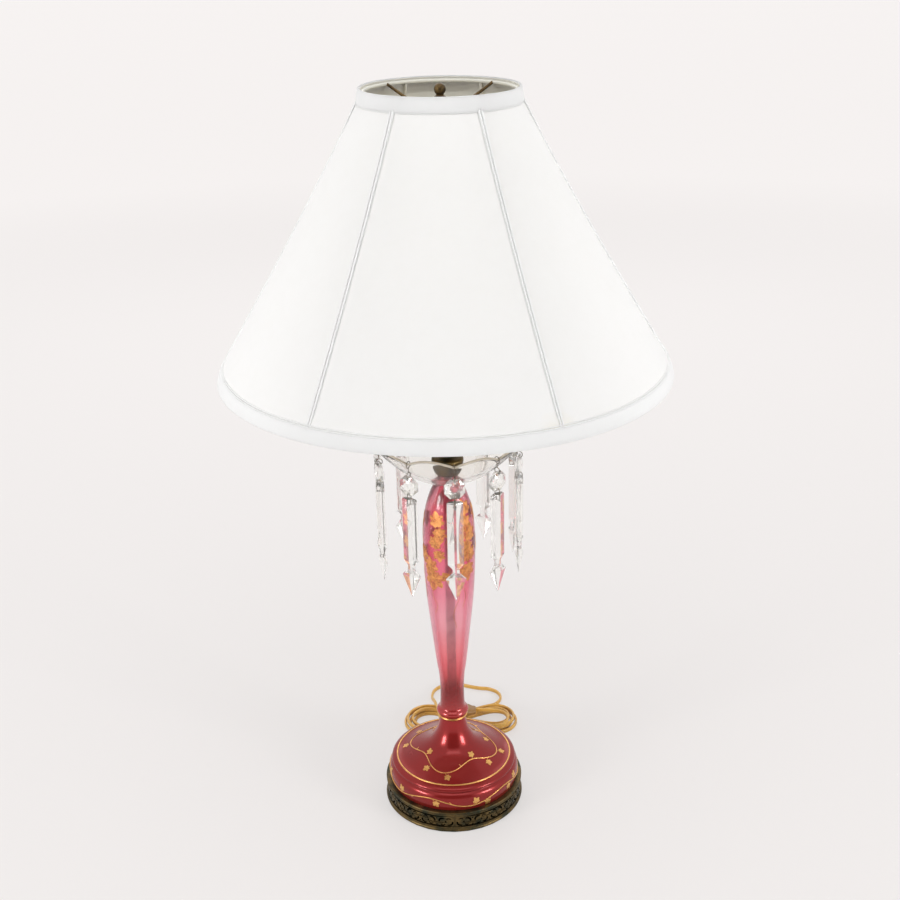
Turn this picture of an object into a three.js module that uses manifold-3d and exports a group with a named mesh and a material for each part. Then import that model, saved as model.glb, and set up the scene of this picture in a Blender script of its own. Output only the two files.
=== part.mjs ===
// A table lamp of ruby glass with a pierced brass base, a glass dish hung with prisms
// and a six-panel fabric shade. Millimetres, +Z up, front towards -Y, origin on the table
// under the middle of the base.
import * as THREE from 'three';
import { mergeVertices } from 'three/addons/utils/BufferGeometryUtils.js';
import Module from 'manifold-3d';

const wasm = await Module();
wasm.setup();

// Clearance between pieces that touch, and between a pin and its hole.
const SEAT = 0.3;
const RUNNING = 0.35;

// Brass gallery and what it covers.
const GALLERY_RADIUS = 76.2;
const GALLERY_HEIGHT = 23.5;
const GALLERY_WALL = 1.6;
const GALLERY_LEDGE = 13.5;
const GALLERY_MOULDING = 0.8;
const SCROLL_COUNT = 24;
const SCROLL_BAND = 12;
const FELT_THICKNESS = 1.5;
const PLATE_THICKNESS = 1.6;
const WEIGHT_RADIUS = 56;
const WEIGHT_THICKNESS = 9;

// Threaded rod that holds the stack together.
const ROD_RADIUS = 4.9;
const ROD_BORE = 3;
const NUT_WIDTH = 17;
const NUT_HEIGHT = 5;

// Ruby glass foot and stem.
const GLASS_WALL = 4;
const FOOT_RADIUS = 71;
const FOOT_BULGE = 72.1;
const GROOVE_RADIUS = 67.8;
const GROOVE_HEIGHT = 20;
const SHOULDER_RADIUS = 63;
const SHOULDER_HEIGHT = 26.8;
const FOOT_HEIGHT = 80;
const NECK_RADIUS = 14.2;
const COLLAR_RADIUS = 15.9;
const COLLAR_HEIGHT = 3;
const KNOP_RADIUS = 17.5;
const KNOP_HEIGHT = 7.4;
const STEM_HEIGHT = 281;
const STEM_WAIST = 13.1;
const STEM_BELLY = 27.4;
const STEM_BELLY_HEIGHT = 214;
const STEM_MOUTH = 9;

// Clear glass dish and the prism chains that hang from its rim.
const DISH_RADIUS = 74;
const DISH_FLAT = 15;
const DISH_RISE = 42.1;
const DISH_STEEPNESS = 1.17;
const DISH_WALL = 2.4;
const DISH_CENTRE_WALL = 5;
const SCALLOP_DEPTH = 8;
const CHAIN_COUNT = 10;
const CHAIN_TURN = 5;
const EYE_RADIUS = 3.4;
const WIRE_RADIUS = 0.4;
const HOOK_DROP = 14.7;
const BEAD_WIDTH = 20.5;
const BEAD_HOLES = 15.4;
const BEAD_DEPTH = 3.4;
const BEAD_TABLE = 4.2;
const BEAD_EDGE = 0.9;
const BEAD_HOLE_RADIUS = 1.5;
const DISH_HOLE_RADIUS = 1.3;
const LINK_DROP = 12.3;
const PRISM_HOLE_DEPTH = 6.2;
const PRISM_WIDTH = 16.2;
const PRISM_BODY = 71;
const PRISM_DEPTH = 4.6;
const PRISM_EDGE = 1.3;
const PRISM_NECK_WIDTH = 6.8;
const PRISM_NECK = 8.3;
const SPEAR_WIDTH = 20.4;
const SPEAR_SHOULDER = 5.5;
const SPEAR_POINT = 24;

// Brass cup, neck and socket.
const CUP_RADIUS = 16.2;
const CUP_HEIGHT = 21;
const CUP_FOOT = 10;
const NECK_TUBE_RADIUS = 7;
const NECK_TUBE_HEIGHT = 34.3;
const NECK_TUBE_LIP = 1;
const SOCKET_RADIUS = 16.8;
const SOCKET_CAP_HEIGHT = 17;
const SOCKET_SHELL_HEIGHT = 40;
const SOCKET_WALL = 0.9;
const LINER_WALL = 0.8;
const KNOB_HEIGHT = 12;
const KNOB_REACH = 19;
const KNOB_SHAFT = 1.8;
const KNOB_WIDTH = 14;
const KNOB_DEPTH = 10;
const KNOB_THICKNESS = 3.2;
const BOSS_REACH = 2;

// Bulb.
const BULB_RADIUS = 30;
const BULB_LENGTH = 82;
const BULB_BASE_RADIUS = 13;
const BULB_BASE_LENGTH = 25;
const BULB_SEAT = 13;

// Harp and finial.
const SADDLE_HALF_WIDTH = 28;
const SADDLE_RISE = 25;
const SADDLE_THICKNESS = 1.8;
const SADDLE_WIDTH = 16;
const TONGUE_WIDTH = 3.6;
const HARP_WIRE = 2;
const HARP_HEIGHT = 307;
const HARP_HALF_WIDTH = 60;
const CROWN_RADIUS = 8;
const CROWN_HEIGHT = 3;
const SLEEVE_LENGTH = 17;
const SLEEVE_TRAVEL = 14;
const SLEEVE_WALL = 1.1;
const STUD_RADIUS = 3.1;
const STUD_LENGTH = 14;
const HUB_THICKNESS = 1.8;
const FINIAL_BALL = 5.5;
const FINIAL_HEIGHT = 25;

// Shade.
const SHADE_TOP_RADIUS = 74.4;
const SHADE_COLLAR_RADIUS = 76.2;
const SHADE_HEM_RADIUS = 218.4;
const SHADE_BOTTOM_RADIUS = 222.7;
const SHADE_HEIGHT = 272.2;
const SHADE_WALL = 1.6;
const PANEL_BOW = 3;
const PANEL_COUNT = 6;
const PANEL_TURN = -3;
const SEAM_WIDTH = 3.6;
const SEAM_RISE = 0.9;
const TOP_BAND = 13.5;
const BOTTOM_BAND = 12.3;
const BAND_THICKNESS = 1.1;
const RING_WIRE = 1.6;
const RIB_WIRE = 1.2;
const ARM_WIRE = 1.5;
const ARM_COUNT = 4;
const HUB_RADIUS = 12.5;
const HUB_DROP = 24.7;

// Flat twin lamp cord, drawn as a round tube of its width.
const CORD_WIDTH = 5;
const CORD_SIDES = 6;
const CORD_EXIT_TURN = 187.5;
const CORD_EXIT_HEIGHT = 14.5;
const RELIEF_LENGTH = 20;
const RELIEF_RADIUS = 5.2;
const RELIEF_COLLAR = 2;
const RELIEF_TIP_WALL = 0.7;
const HANK_PITCH = 6.05;
const HANK_LAYER = 5.45;
const HANK_LOOP_STEPS = 24;
const HANK_TURNS = 4.5;
const HANK_CENTRE = [11, 130];
const HANK_END_RADIUS = 30;
const HANK_HALF_RUN = 41;
const HANK_WAIST = 12;
const PLUG_BACK = 17;
const PLUG_SIDE = 2;
const PLUG_LENGTH = 22;
const PLUG_WIDTH = 20;
const PLUG_THICKNESS = 11;
const BLADE_LENGTH = 16;
const BLADE_WIDTH = 6.3;
const BLADE_THICKNESS = 1.5;
const BLADE_SPACING = 12.7;

// Heights of the seats, from the table up.
const galleryBottom = FELT_THICKNESS + SEAT;
const galleryTop = galleryBottom + GALLERY_HEIGHT;
const footBottom = galleryTop + SEAT;
const stemBottom = footBottom + FOOT_HEIGHT + SEAT;
const dishBottom = stemBottom + STEM_HEIGHT + SEAT;
const cupBottom = dishBottom + DISH_CENTRE_WALL + SEAT;
const saddleBottom = cupBottom + CUP_HEIGHT + NECK_TUBE_HEIGHT + SEAT;
const capBottom = saddleBottom + SADDLE_THICKNESS + SEAT;
const shellBottom = capBottom + SOCKET_CAP_HEIGHT + SEAT;
const shellTop = shellBottom + SOCKET_SHELL_HEIGHT;
const bulbBaseBottom = shellBottom + BULB_SEAT;
const bulbBottom = bulbBaseBottom + BULB_BASE_LENGTH + SEAT;
const crownTop = saddleBottom + HARP_HEIGHT;
const hubBottom = crownTop + SEAT;
const finialBottom = hubBottom + HUB_THICKNESS + SEAT;
const shadeTop = hubBottom + HUB_DROP;
const shadeBottom = shadeTop - SHADE_HEIGHT;

const degrees = (angle) => (angle * Math.PI) / 180;

// A point at a radius and height, at an azimuth counted from the front towards +X.
function around(radius, azimuth, height) {
  return new THREE.Vector3(radius * Math.sin(azimuth), -radius * Math.cos(azimuth), height);
}

// Keeps only the merged positions and turns the faces outward.
function closed(geometry) {
  const bare = geometry.clone();
  for (const name of Object.keys(bare.attributes)) {
    if (name !== 'position') bare.deleteAttribute(name);
  }
  const merged = mergeVertices(bare, 1e-4);
  const position = merged.attributes.position;
  const index = merged.index.array;
  const kept = [];
  let volume = 0;
  for (let i = 0; i < index.length; i += 3) {
    const [a, b, c] = index.slice(i, i + 3);
    if (a === b || b === c || c === a) continue;
    kept.push(a, b, c);
    const corners = [a, b, c].map((k) => new THREE.Vector3().fromBufferAttribute(position, k));
    volume += corners[0].dot(corners[1].cross(corners[2]));
  }
  if (volume < 0) kept.reverse();
  merged.setIndex(kept);
  return merged;
}

function solidOf(geometry) {
  const merged = closed(geometry);
  return new wasm.Manifold(new wasm.Mesh({
    numProp: 3,
    vertProperties: Float32Array.from(merged.attributes.position.array),
    triVerts: Uint32Array.from(merged.index.array),
  }));
}

function geometryOf(solid) {
  const mesh = solid.getMesh();
  const geometry = new THREE.BufferGeometry();
  geometry.setAttribute('position', new THREE.BufferAttribute(Float32Array.from(mesh.vertProperties), 3));
  geometry.setIndex(Array.from(mesh.triVerts));
  return geometry;
}

function joined(geometries) {
  const solids = geometries.map(solidOf);
  return geometryOf(solids.reduce((whole, solid) => whole.add(solid)));
}

function cut(geometry, cutters) {
  const solids = cutters.map(solidOf);
  return geometryOf(solids.reduce((whole, solid) => whole.subtract(solid), solidOf(geometry)));
}

// A profile of [radius, height] points turned about Z. It ends on the axis or closes on itself.
function turned(profile, segments, shift = 0) {
  const points = profile.map(([radius, height]) => new THREE.Vector2(radius, height));
  const geometry = new THREE.LatheGeometry(points, segments, shift);
  geometry.rotateX(Math.PI / 2);
  return closed(geometry);
}

// A ring-shaped body of revolution from an outer and an inner outline, both from the bottom up.
function turnedShell(outer, inner, segments, shift = 0) {
  return turned([...outer, ...[...inner].reverse(), outer[0]], segments, shift);
}

// A closed ring whose section of [radius, height] points may change with the azimuth.
function ringOf(azimuths, sectionAt) {
  const sections = azimuths.map((azimuth) =>
    sectionAt(azimuth).map(([radius, height]) => around(radius, azimuth, height)));
  return tubeOf(sections, true);
}

// A tube through a list of sections with equal point counts, closed on itself or capped.
function tubeOf(sections, loop = false) {
  const sides = sections[0].length;
  const positions = sections.flat().flatMap((point) => point.toArray());
  const index = [];
  const last = loop ? sections.length : sections.length - 1;
  for (let i = 0; i < last; i++) {
    const here = i * sides;
    const next = ((i + 1) % sections.length) * sides;
    for (let j = 0; j < sides; j++) {
      const k = (j + 1) % sides;
      index.push(here + j, next + j, next + k, here + j, next + k, here + k);
    }
  }
  if (!loop) {
    const end = (sections.length - 1) * sides;
    for (let j = 1; j < sides - 1; j++) {
      index.push(0, j, j + 1, end, end + j + 1, end + j);
    }
  }
  const geometry = new THREE.BufferGeometry();
  geometry.setAttribute('position', new THREE.Float32BufferAttribute(positions, 3));
  geometry.setIndex(index);
  return closed(geometry);
}

// Points of a smooth outline through a few [radius, height] points.
function smooth(points, divisions) {
  const spline = new THREE.SplineCurve(points.map(([x, y]) => new THREE.Vector2(x, y)));
  return spline.getPoints(divisions).map((point) => [point.x, point.y]);
}

// The corners of a regular polygon.
function polygon(sides, radius) {
  return Array.from({ length: sides }, (_, i) => {
    const angle = (2 * Math.PI * (i + 0.5)) / sides;
    return new THREE.Vector2(radius * Math.cos(angle), radius * Math.sin(angle));
  });
}

// A round bar along a curve.
function bar(curve, radius, sides, steps) {
  const section = new THREE.Shape(polygon(sides, radius));
  return closed(new THREE.ExtrudeGeometry(section, { steps, extrudePath: curve, bevelEnabled: false }));
}

function rod(from, to, radius, sides) {
  return bar(new THREE.LineCurve3(from, to), radius, sides, 1);
}

// An eye bent from wire in the plane x = 0, stretched downward by a straight length.
function eye(top, straight, segments) {
  const outline = [];
  for (let i = 0; i < segments; i++) {
    const angle = (2 * Math.PI * (i + 0.5)) / segments;
    const drop = Math.sin(angle) < 0 ? straight : 0;
    outline.push({ angle, y: EYE_RADIUS * Math.cos(angle), z: EYE_RADIUS * Math.sin(angle) - drop });
  }
  const sections = outline.map(({ angle, y, z }) => {
    const out = new THREE.Vector3(0, Math.cos(angle), Math.sin(angle)).multiplyScalar(WIRE_RADIUS);
    const side = new THREE.Vector3(WIRE_RADIUS, 0, 0);
    const middle = new THREE.Vector3(0, y, z + top);
    return [
      middle.clone().add(out),
      middle.clone().add(side),
      middle.clone().sub(out),
      middle.clone().sub(side),
    ];
  });
  return tubeOf(sections, true);
}

const group = new THREE.Group();

function place(name, geometry, finish, parent = group) {
  const mesh = new THREE.Mesh(geometry, new THREE.MeshStandardMaterial(finish));
  mesh.name = name;
  parent.add(mesh);
  return mesh;
}

const ANTIQUE_BRASS = { color: 0x6b5a34, roughness: 0.42, metalness: 1 };
const BRASS = { color: 0xb8934a, roughness: 0.3, metalness: 1 };
const STEEL = { color: 0x9a9a98, roughness: 0.4, metalness: 1 };
const IRON = { color: 0x4a4a4a, roughness: 0.7, metalness: 1 };
const RUBY_GLASS = { color: 0x9c1f35, roughness: 0.12, metalness: 0 };
const CLEAR_GLASS = { color: 0xf1f4f2, roughness: 0.03, metalness: 0 };
const FABRIC = { color: 0xf6f7f3, roughness: 0.9, metalness: 0 };
const FELT = { color: 0x3d4a35, roughness: 1, metalness: 0 };
const CARD = { color: 0xcfc3a3, roughness: 0.9, metalness: 0 };
const BAKELITE = { color: 0x231a15, roughness: 0.35, metalness: 0 };
const CORD = { color: 0xc99a45, roughness: 0.45, metalness: 0 };

// Felt pad under the gallery.
function feltPad() {
  const radius = GALLERY_RADIUS - GALLERY_MOULDING;
  return turned([[0, 0], [radius, 0], [radius, FELT_THICKNESS], [0, FELT_THICKNESS]], 32);
}

// The gallery turns in facets, two to each scroll, with the middle of a facet at the back.
const galleryFacets = 2 * SCROLL_COUNT;
const galleryShift = Math.PI / galleryFacets;
const bandMiddle = galleryBottom + GALLERY_HEIGHT / 2;

// A comma-shaped opening for one facet, drawn flat and pushed through the wall.
function scrollCutter(facet, flip) {
  const wide = (Math.PI * GALLERY_RADIUS) / galleryFacets;
  const high = SCROLL_BAND / 4;
  const comma = new THREE.Shape();
  comma.moveTo(-0.72 * wide, flip * 0.25 * high);
  comma.lineTo(-0.3 * wide, flip * 1.45 * high);
  comma.lineTo(0.42 * wide, flip * 1.62 * high);
  comma.lineTo(0.8 * wide, flip * 0.55 * high);
  comma.lineTo(0.1 * wide, flip * 0.85 * high);
  comma.closePath();
  const dot = new THREE.Shape();
  dot.moveTo(-0.35 * wide, -flip * high);
  dot.lineTo(0.15 * wide, -flip * 0.45 * high);
  dot.lineTo(0.6 * wide, -flip * high);
  dot.lineTo(0.15 * wide, -flip * 1.6 * high);
  dot.closePath();
  return [comma, dot].map((shape) => {
    const cutter = new THREE.ExtrudeGeometry(shape, { depth: 4 * GALLERY_WALL, bevelEnabled: false });
    cutter.rotateX(Math.PI / 2);
    cutter.translate(0, 2 * GALLERY_WALL - GALLERY_RADIUS, bandMiddle);
    cutter.rotateZ((2 * Math.PI * facet) / galleryFacets);
    return cutter;
  });
}

// Brass gallery: moulded rims, a band pierced with scrolls, a ledge for the glass and a
// turned-in foot, and a hole for the cord at the back.
function gallery() {
  const [low, high] = [galleryBottom, galleryTop];
  const bandWall = GALLERY_RADIUS - GALLERY_MOULDING;
  const rim = (GALLERY_HEIGHT - SCROLL_BAND) / 2;
  const inside = bandWall - GALLERY_WALL;
  const outer = [
    [inside - 4, low],
    [GALLERY_RADIUS + GALLERY_MOULDING, low],
    [GALLERY_RADIUS, low + rim * 0.7],
    [bandWall, low + rim * 0.8],
    [bandWall, high - rim * 0.8],
    [GALLERY_RADIUS, high - rim * 0.55],
    [GALLERY_RADIUS, high],
    [inside - GALLERY_LEDGE + GALLERY_WALL, high],
  ];
  const inner = [
    [inside - 4, low + GALLERY_WALL],
    [inside, low + GALLERY_WALL],
    [inside, high - GALLERY_WALL],
    [inside - GALLERY_LEDGE + GALLERY_WALL, high - GALLERY_WALL],
  ];
  const exitFacet = Math.round((CORD_EXIT_TURN * galleryFacets) / 360);
  const cutters = [];
  for (let facet = 0; facet < galleryFacets; facet++) {
    if (facet !== exitFacet) cutters.push(...scrollCutter(facet, facet % 2 ? 1 : -1));
  }
  const exit = degrees(CORD_EXIT_TURN);
  const hole = rod(
    around(GALLERY_RADIUS - 4 * GALLERY_WALL, exit, CORD_EXIT_HEIGHT),
    around(GALLERY_RADIUS + 4 * GALLERY_WALL, exit, CORD_EXIT_HEIGHT),
    reliefNeck + SEAT,
    10,
  );
  return cut(turnedShell(outer, inner, galleryFacets, galleryShift), [...cutters, hole]);
}

// Steel plate under the ledge, the iron weight below it, and the nut that draws both up.
const galleryInside = GALLERY_RADIUS - GALLERY_MOULDING - GALLERY_WALL;
const plateTop = galleryTop - GALLERY_WALL - SEAT;
const weightTop = plateTop - PLATE_THICKNESS - SEAT;
const nutTop = weightTop - WEIGHT_THICKNESS - SEAT;
const rodBottom = nutTop - NUT_HEIGHT - 1;
const rodHole = ROD_RADIUS + RUNNING;

function disc(radius, hole, low, thickness, segments) {
  const outer = [[radius, low], [radius, low + thickness]];
  return turnedShell(outer, [[hole, low], [hole, low + thickness]], segments);
}

function steelPlate() {
  return disc(galleryInside - SEAT, rodHole, plateTop - PLATE_THICKNESS, PLATE_THICKNESS, 24);
}

function ironWeight() {
  const low = weightTop - WEIGHT_THICKNESS;
  const outer = [[WEIGHT_RADIUS - 2, low], [WEIGHT_RADIUS, low + 2], [WEIGHT_RADIUS, weightTop]];
  return turnedShell(outer, [[rodHole, low], [rodHole, weightTop]], 24);
}

function hexNut() {
  const hexagon = new THREE.Shape();
  const hole = new THREE.Path();
  hexagon.setFromPoints(polygon(6, NUT_WIDTH / Math.sqrt(3)));
  hole.setFromPoints(polygon(12, rodHole));
  hexagon.holes.push(hole);
  const nut = new THREE.ExtrudeGeometry(hexagon, { depth: NUT_HEIGHT, bevelEnabled: false });
  nut.translate(0, 0, nutTop - NUT_HEIGHT);
  return closed(nut);
}

function threadedRod() {
  const top = capBottom + 0.6 * SOCKET_CAP_HEIGHT;
  return disc(ROD_RADIUS, ROD_BORE, rodBottom, top - rodBottom, 12);
}

// Ruby foot: a bulging band, a groove, a rolled shoulder, a low dome and a flare to the collar.
function footOutline() {
  const flareTop = FOOT_HEIGHT - COLLAR_HEIGHT;
  const rise = flareTop - SHOULDER_HEIGHT;
  const span = SHOULDER_RADIUS - NECK_RADIUS;
  const dome = [
    [SHOULDER_RADIUS, SHOULDER_HEIGHT],
    [NECK_RADIUS + 0.68 * span, SHOULDER_HEIGHT + 0.12 * rise],
    [NECK_RADIUS + 0.36 * span, SHOULDER_HEIGHT + 0.27 * rise],
    [NECK_RADIUS + 0.14 * span, SHOULDER_HEIGHT + 0.5 * rise],
    [NECK_RADIUS + 0.035 * span, SHOULDER_HEIGHT + 0.76 * rise],
    [NECK_RADIUS, flareTop],
  ];
  return [
    ...smooth([
      [FOOT_RADIUS, 0],
      [FOOT_BULGE, 0.45 * GROOVE_HEIGHT],
      [(FOOT_BULGE + GROOVE_RADIUS) / 2 + 0.6, 0.85 * GROOVE_HEIGHT],
      [GROOVE_RADIUS, GROOVE_HEIGHT],
    ], 4),
    [GROOVE_RADIUS + 1.2, GROOVE_HEIGHT + 1.6],
    [GROOVE_RADIUS + 0.9, GROOVE_HEIGHT + 3.4],
    ...smooth(dome, 8),
    [COLLAR_RADIUS, flareTop + 0.4],
    [COLLAR_RADIUS, FOOT_HEIGHT - 0.4],
    [COLLAR_RADIUS - 0.6, FOOT_HEIGHT],
  ];
}

function lifted(outline, height) {
  return outline.map(([radius, z]) => [radius, z + height]);
}

function glassFoot() {
  const inner = [
    [FOOT_RADIUS - GLASS_WALL, 0],
    [FOOT_BULGE - GLASS_WALL, 0.5 * GROOVE_HEIGHT],
    [GROOVE_RADIUS - GLASS_WALL, GROOVE_HEIGHT],
    [SHOULDER_RADIUS - GLASS_WALL, SHOULDER_HEIGHT - GLASS_WALL],
    [0.55 * SHOULDER_RADIUS, SHOULDER_HEIGHT + 0.5 * GLASS_WALL],
    [NECK_RADIUS + 0.3 * GLASS_WALL, SHOULDER_HEIGHT + 0.3 * (FOOT_HEIGHT - SHOULDER_HEIGHT)],
    [NECK_RADIUS - GLASS_WALL, SHOULDER_HEIGHT + 0.62 * (FOOT_HEIGHT - SHOULDER_HEIGHT)],
    [NECK_RADIUS - GLASS_WALL, FOOT_HEIGHT],
  ];
  return turnedShell(lifted(footOutline(), footBottom), lifted(inner, footBottom), 28);
}

// Ruby stem: a knop, a slim waist and a long belly that closes in under the dish.
function stemOutline() {
  const collar = COLLAR_RADIUS - 0.6;
  const belly = STEM_BELLY_HEIGHT;
  const above = STEM_HEIGHT - belly;
  const swell = STEM_BELLY - STEM_WAIST;
  return [
    [collar, 0],
    [KNOP_RADIUS - 0.9, 0.16 * KNOP_HEIGHT],
    [KNOP_RADIUS, 0.45 * KNOP_HEIGHT],
    [KNOP_RADIUS - 0.9, 0.76 * KNOP_HEIGHT],
    [STEM_WAIST + 1.6, KNOP_HEIGHT],
    ...smooth([
      [STEM_WAIST + 0.2, KNOP_HEIGHT + 4],
      [STEM_WAIST, 0.17 * belly],
      [STEM_WAIST + 0.24 * swell, 0.315 * belly],
      [STEM_WAIST + 0.53 * swell, 0.495 * belly],
      [STEM_WAIST + 0.91 * swell, 0.77 * belly],
      [STEM_BELLY, belly],
      [0.94 * STEM_BELLY, belly + 0.38 * above],
      [0.86 * STEM_BELLY, belly + 0.58 * above],
      [0.7 * STEM_BELLY, belly + 0.79 * above],
      [0.55 * STEM_BELLY, belly + 0.92 * above],
    ], 11),
    [STEM_MOUTH + 2.4, STEM_HEIGHT],
  ];
}

function glassStem() {
  const outer = stemOutline();
  const bore = NECK_RADIUS - GLASS_WALL;
  const belly = STEM_BELLY_HEIGHT;
  const inner = [
    [bore, 0],
    [STEM_WAIST - GLASS_WALL, 0.17 * belly],
    [STEM_WAIST - GLASS_WALL + 0.4 * (STEM_BELLY - STEM_WAIST), 0.45 * belly],
    [STEM_BELLY - GLASS_WALL, 0.95 * belly],
    [0.86 * STEM_BELLY - GLASS_WALL, belly + 0.5 * (STEM_HEIGHT - belly)],
    [STEM_MOUTH, STEM_HEIGHT - 1.5 * GLASS_WALL],
    [STEM_MOUTH, STEM_HEIGHT],
  ];
  return turnedShell(lifted(outer, stemBottom), lifted(inner, stemBottom), 22);
}

// The dish rises from a flat seat as a parabola that reaches its rim at the given steepness.
const dishSpan = DISH_RADIUS - DISH_FLAT;
const dishCurve = (DISH_STEEPNESS * dishSpan - DISH_RISE) / dishSpan ** 2;
const dishStart = (2 * DISH_RISE) / dishSpan - DISH_STEEPNESS;
const dishRise = (radius) => {
  const out = Math.max(radius - DISH_FLAT, 0);
  return dishStart * out + dishCurve * out * out;
};
const dishSlope = (radius) => dishStart + 2 * dishCurve * Math.max(radius - DISH_FLAT, 0);
const chainAzimuths = Array.from(
  { length: CHAIN_COUNT },
  (_, i) => degrees(CHAIN_TURN + (360 * i) / CHAIN_COUNT),
);

// The centre of each hook's eye lies on the middle of the rim at a cusp.
const rimSlope = Math.atan(dishSlope(DISH_RADIUS));
const eyeHeight = dishBottom + DISH_CENTRE_WALL / 2 + DISH_RISE;

function dishSection(azimuth) {
  const phase = (CHAIN_COUNT * (azimuth - chainAzimuths[0])) / 2;
  const rimRadius = DISH_RADIUS + SCALLOP_DEPTH * Math.abs(Math.sin(phase));
  const stations = [0, 0.45, 0.86].map((share) => DISH_FLAT + share * dishSpan);
  stations.push(rimRadius);
  const surface = (side) => stations.map((radius) => {
    const tilt = Math.atan(radius > DISH_FLAT ? dishSlope(radius) : 0);
    const share = Math.min((radius - DISH_FLAT) / dishSpan, 1);
    const half = (side * (DISH_CENTRE_WALL + (DISH_WALL - DISH_CENTRE_WALL) * share)) / 2;
    const middle = dishBottom + DISH_CENTRE_WALL / 2 + dishRise(radius);
    return [radius - half * Math.sin(tilt), middle + half * Math.cos(tilt)];
  });
  const hole = rodHole;
  return [
    [hole, dishBottom],
    ...surface(-1),
    ...surface(1).reverse(),
    [hole, dishBottom + DISH_CENTRE_WALL],
  ];
}

function glassDish() {
  const steps = 4 * CHAIN_COUNT;
  const azimuths = Array.from({ length: steps }, (_, i) => chainAzimuths[0] + (2 * Math.PI * i) / steps);
  const inward = new THREE.Vector2(-Math.cos(rimSlope), -Math.sin(rimSlope)).multiplyScalar(EYE_RADIUS);
  const normal = new THREE.Vector2(-Math.sin(rimSlope), Math.cos(rimSlope)).multiplyScalar(2 * DISH_WALL);
  const holes = chainAzimuths.map((azimuth) => {
    const radius = DISH_RADIUS + inward.x;
    const height = eyeHeight + inward.y;
    return rod(
      around(radius - normal.x, azimuth, height - normal.y),
      around(radius + normal.x, azimuth, height + normal.y),
      DISH_HOLE_RADIUS,
      6,
    );
  });
  return cut(ringOf(azimuths, dishSection), holes);
}

// One hook in its own frame: an eye at the dish, a shank and an eye at the bead.
function hook() {
  const lower = EYE_RADIUS - HOOK_DROP;
  const shank = rod(
    new THREE.Vector3(0, 0, -EYE_RADIUS),
    new THREE.Vector3(0, 0, lower + EYE_RADIUS),
    WIRE_RADIUS,
    4,
  );
  return joined([eye(0, 0, 8), eye(lower, 0, 8), shank]);
}

// An octagonal bead, flat in the middle and bevelled to a thin edge, with a hole near each end.
function bead() {
  const middle = -HOOK_DROP - BEAD_HOLES / 2;
  const corner = 1 / Math.cos(Math.PI / 8);
  const outer = (BEAD_WIDTH / 2) * corner;
  const inner = BEAD_TABLE * corner;
  const body = turned([
    [0, -BEAD_DEPTH],
    [inner, -BEAD_DEPTH],
    [outer, -BEAD_EDGE],
    [outer, BEAD_EDGE],
    [inner, BEAD_DEPTH],
    [0, BEAD_DEPTH],
  ], 8, Math.PI / 8);
  body.rotateX(Math.PI / 2);
  body.translate(0, 0, middle);
  const holes = [1, -1].map((side) => {
    const height = middle + (side * BEAD_HOLES) / 2;
    const reach = 2 * BEAD_DEPTH;
    return rod(
      new THREE.Vector3(0, -reach, height),
      new THREE.Vector3(0, reach, height),
      BEAD_HOLE_RADIUS,
      6,
    );
  });
  return cut(body, holes);
}

// A spear prism of five-sided section, with the wire link through its top.
function prism() {
  const linkTop = -HOOK_DROP - BEAD_HOLES;
  const top = linkTop - LINK_DROP + PRISM_HOLE_DEPTH;
  const stations = [
    [0, PRISM_WIDTH / 2 - 1.2, PRISM_DEPTH - 1.2],
    [1.4, PRISM_WIDTH / 2, PRISM_DEPTH],
    [PRISM_BODY - 3, PRISM_WIDTH / 2, PRISM_DEPTH],
    [PRISM_BODY, PRISM_NECK_WIDTH / 2 + 1.4, PRISM_DEPTH - 1.6],
    [PRISM_BODY + 0.35 * PRISM_NECK, PRISM_NECK_WIDTH / 2, PRISM_DEPTH - 2],
    [PRISM_BODY + PRISM_NECK, PRISM_NECK_WIDTH / 2 + 0.6, PRISM_DEPTH - 1.8],
    [PRISM_BODY + PRISM_NECK + SPEAR_SHOULDER, SPEAR_WIDTH / 2, PRISM_DEPTH],
    [PRISM_BODY + PRISM_NECK + SPEAR_SHOULDER + SPEAR_POINT, 0.3, 0.25],
  ];
  const sections = stations.map(([down, half, deep]) => {
    const edge = Math.min(PRISM_EDGE, 0.6 * deep);
    return [[-half, -edge], [0, -deep], [half, -edge], [half, edge], [0, deep], [-half, edge]]
      .map(([x, y]) => new THREE.Vector3(x, y, top - down));
  });
  const link = eye(linkTop - EYE_RADIUS, LINK_DROP - 2 * EYE_RADIUS, 8);
  return joined([tubeOf(sections), link]);
}

// Brass cup on the dish, drawn in above its rim to a slim neck.
function brassCup() {
  const top = CUP_HEIGHT + NECK_TUBE_HEIGHT;
  const outer = [
    ...smooth([
      [CUP_FOOT, 0],
      [0.83 * CUP_RADIUS, 0.16 * CUP_HEIGHT],
      [0.96 * CUP_RADIUS, 0.42 * CUP_HEIGHT],
      [CUP_RADIUS, 0.7 * CUP_HEIGHT],
    ], 5),
    [CUP_RADIUS, 0.86 * CUP_HEIGHT],
    [0.93 * CUP_RADIUS, 0.96 * CUP_HEIGHT],
    [NECK_TUBE_RADIUS + 3 * NECK_TUBE_LIP, CUP_HEIGHT],
    [NECK_TUBE_RADIUS, CUP_HEIGHT + 3 * NECK_TUBE_LIP],
    [NECK_TUBE_RADIUS, top - 3 * NECK_TUBE_LIP],
    [NECK_TUBE_RADIUS + NECK_TUBE_LIP, top - 2 * NECK_TUBE_LIP],
    [NECK_TUBE_RADIUS + NECK_TUBE_LIP, top],
  ];
  return turnedShell(lifted(outer, cupBottom), lifted([[rodHole, 0], [rodHole, top]], cupBottom), 16);
}

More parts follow.
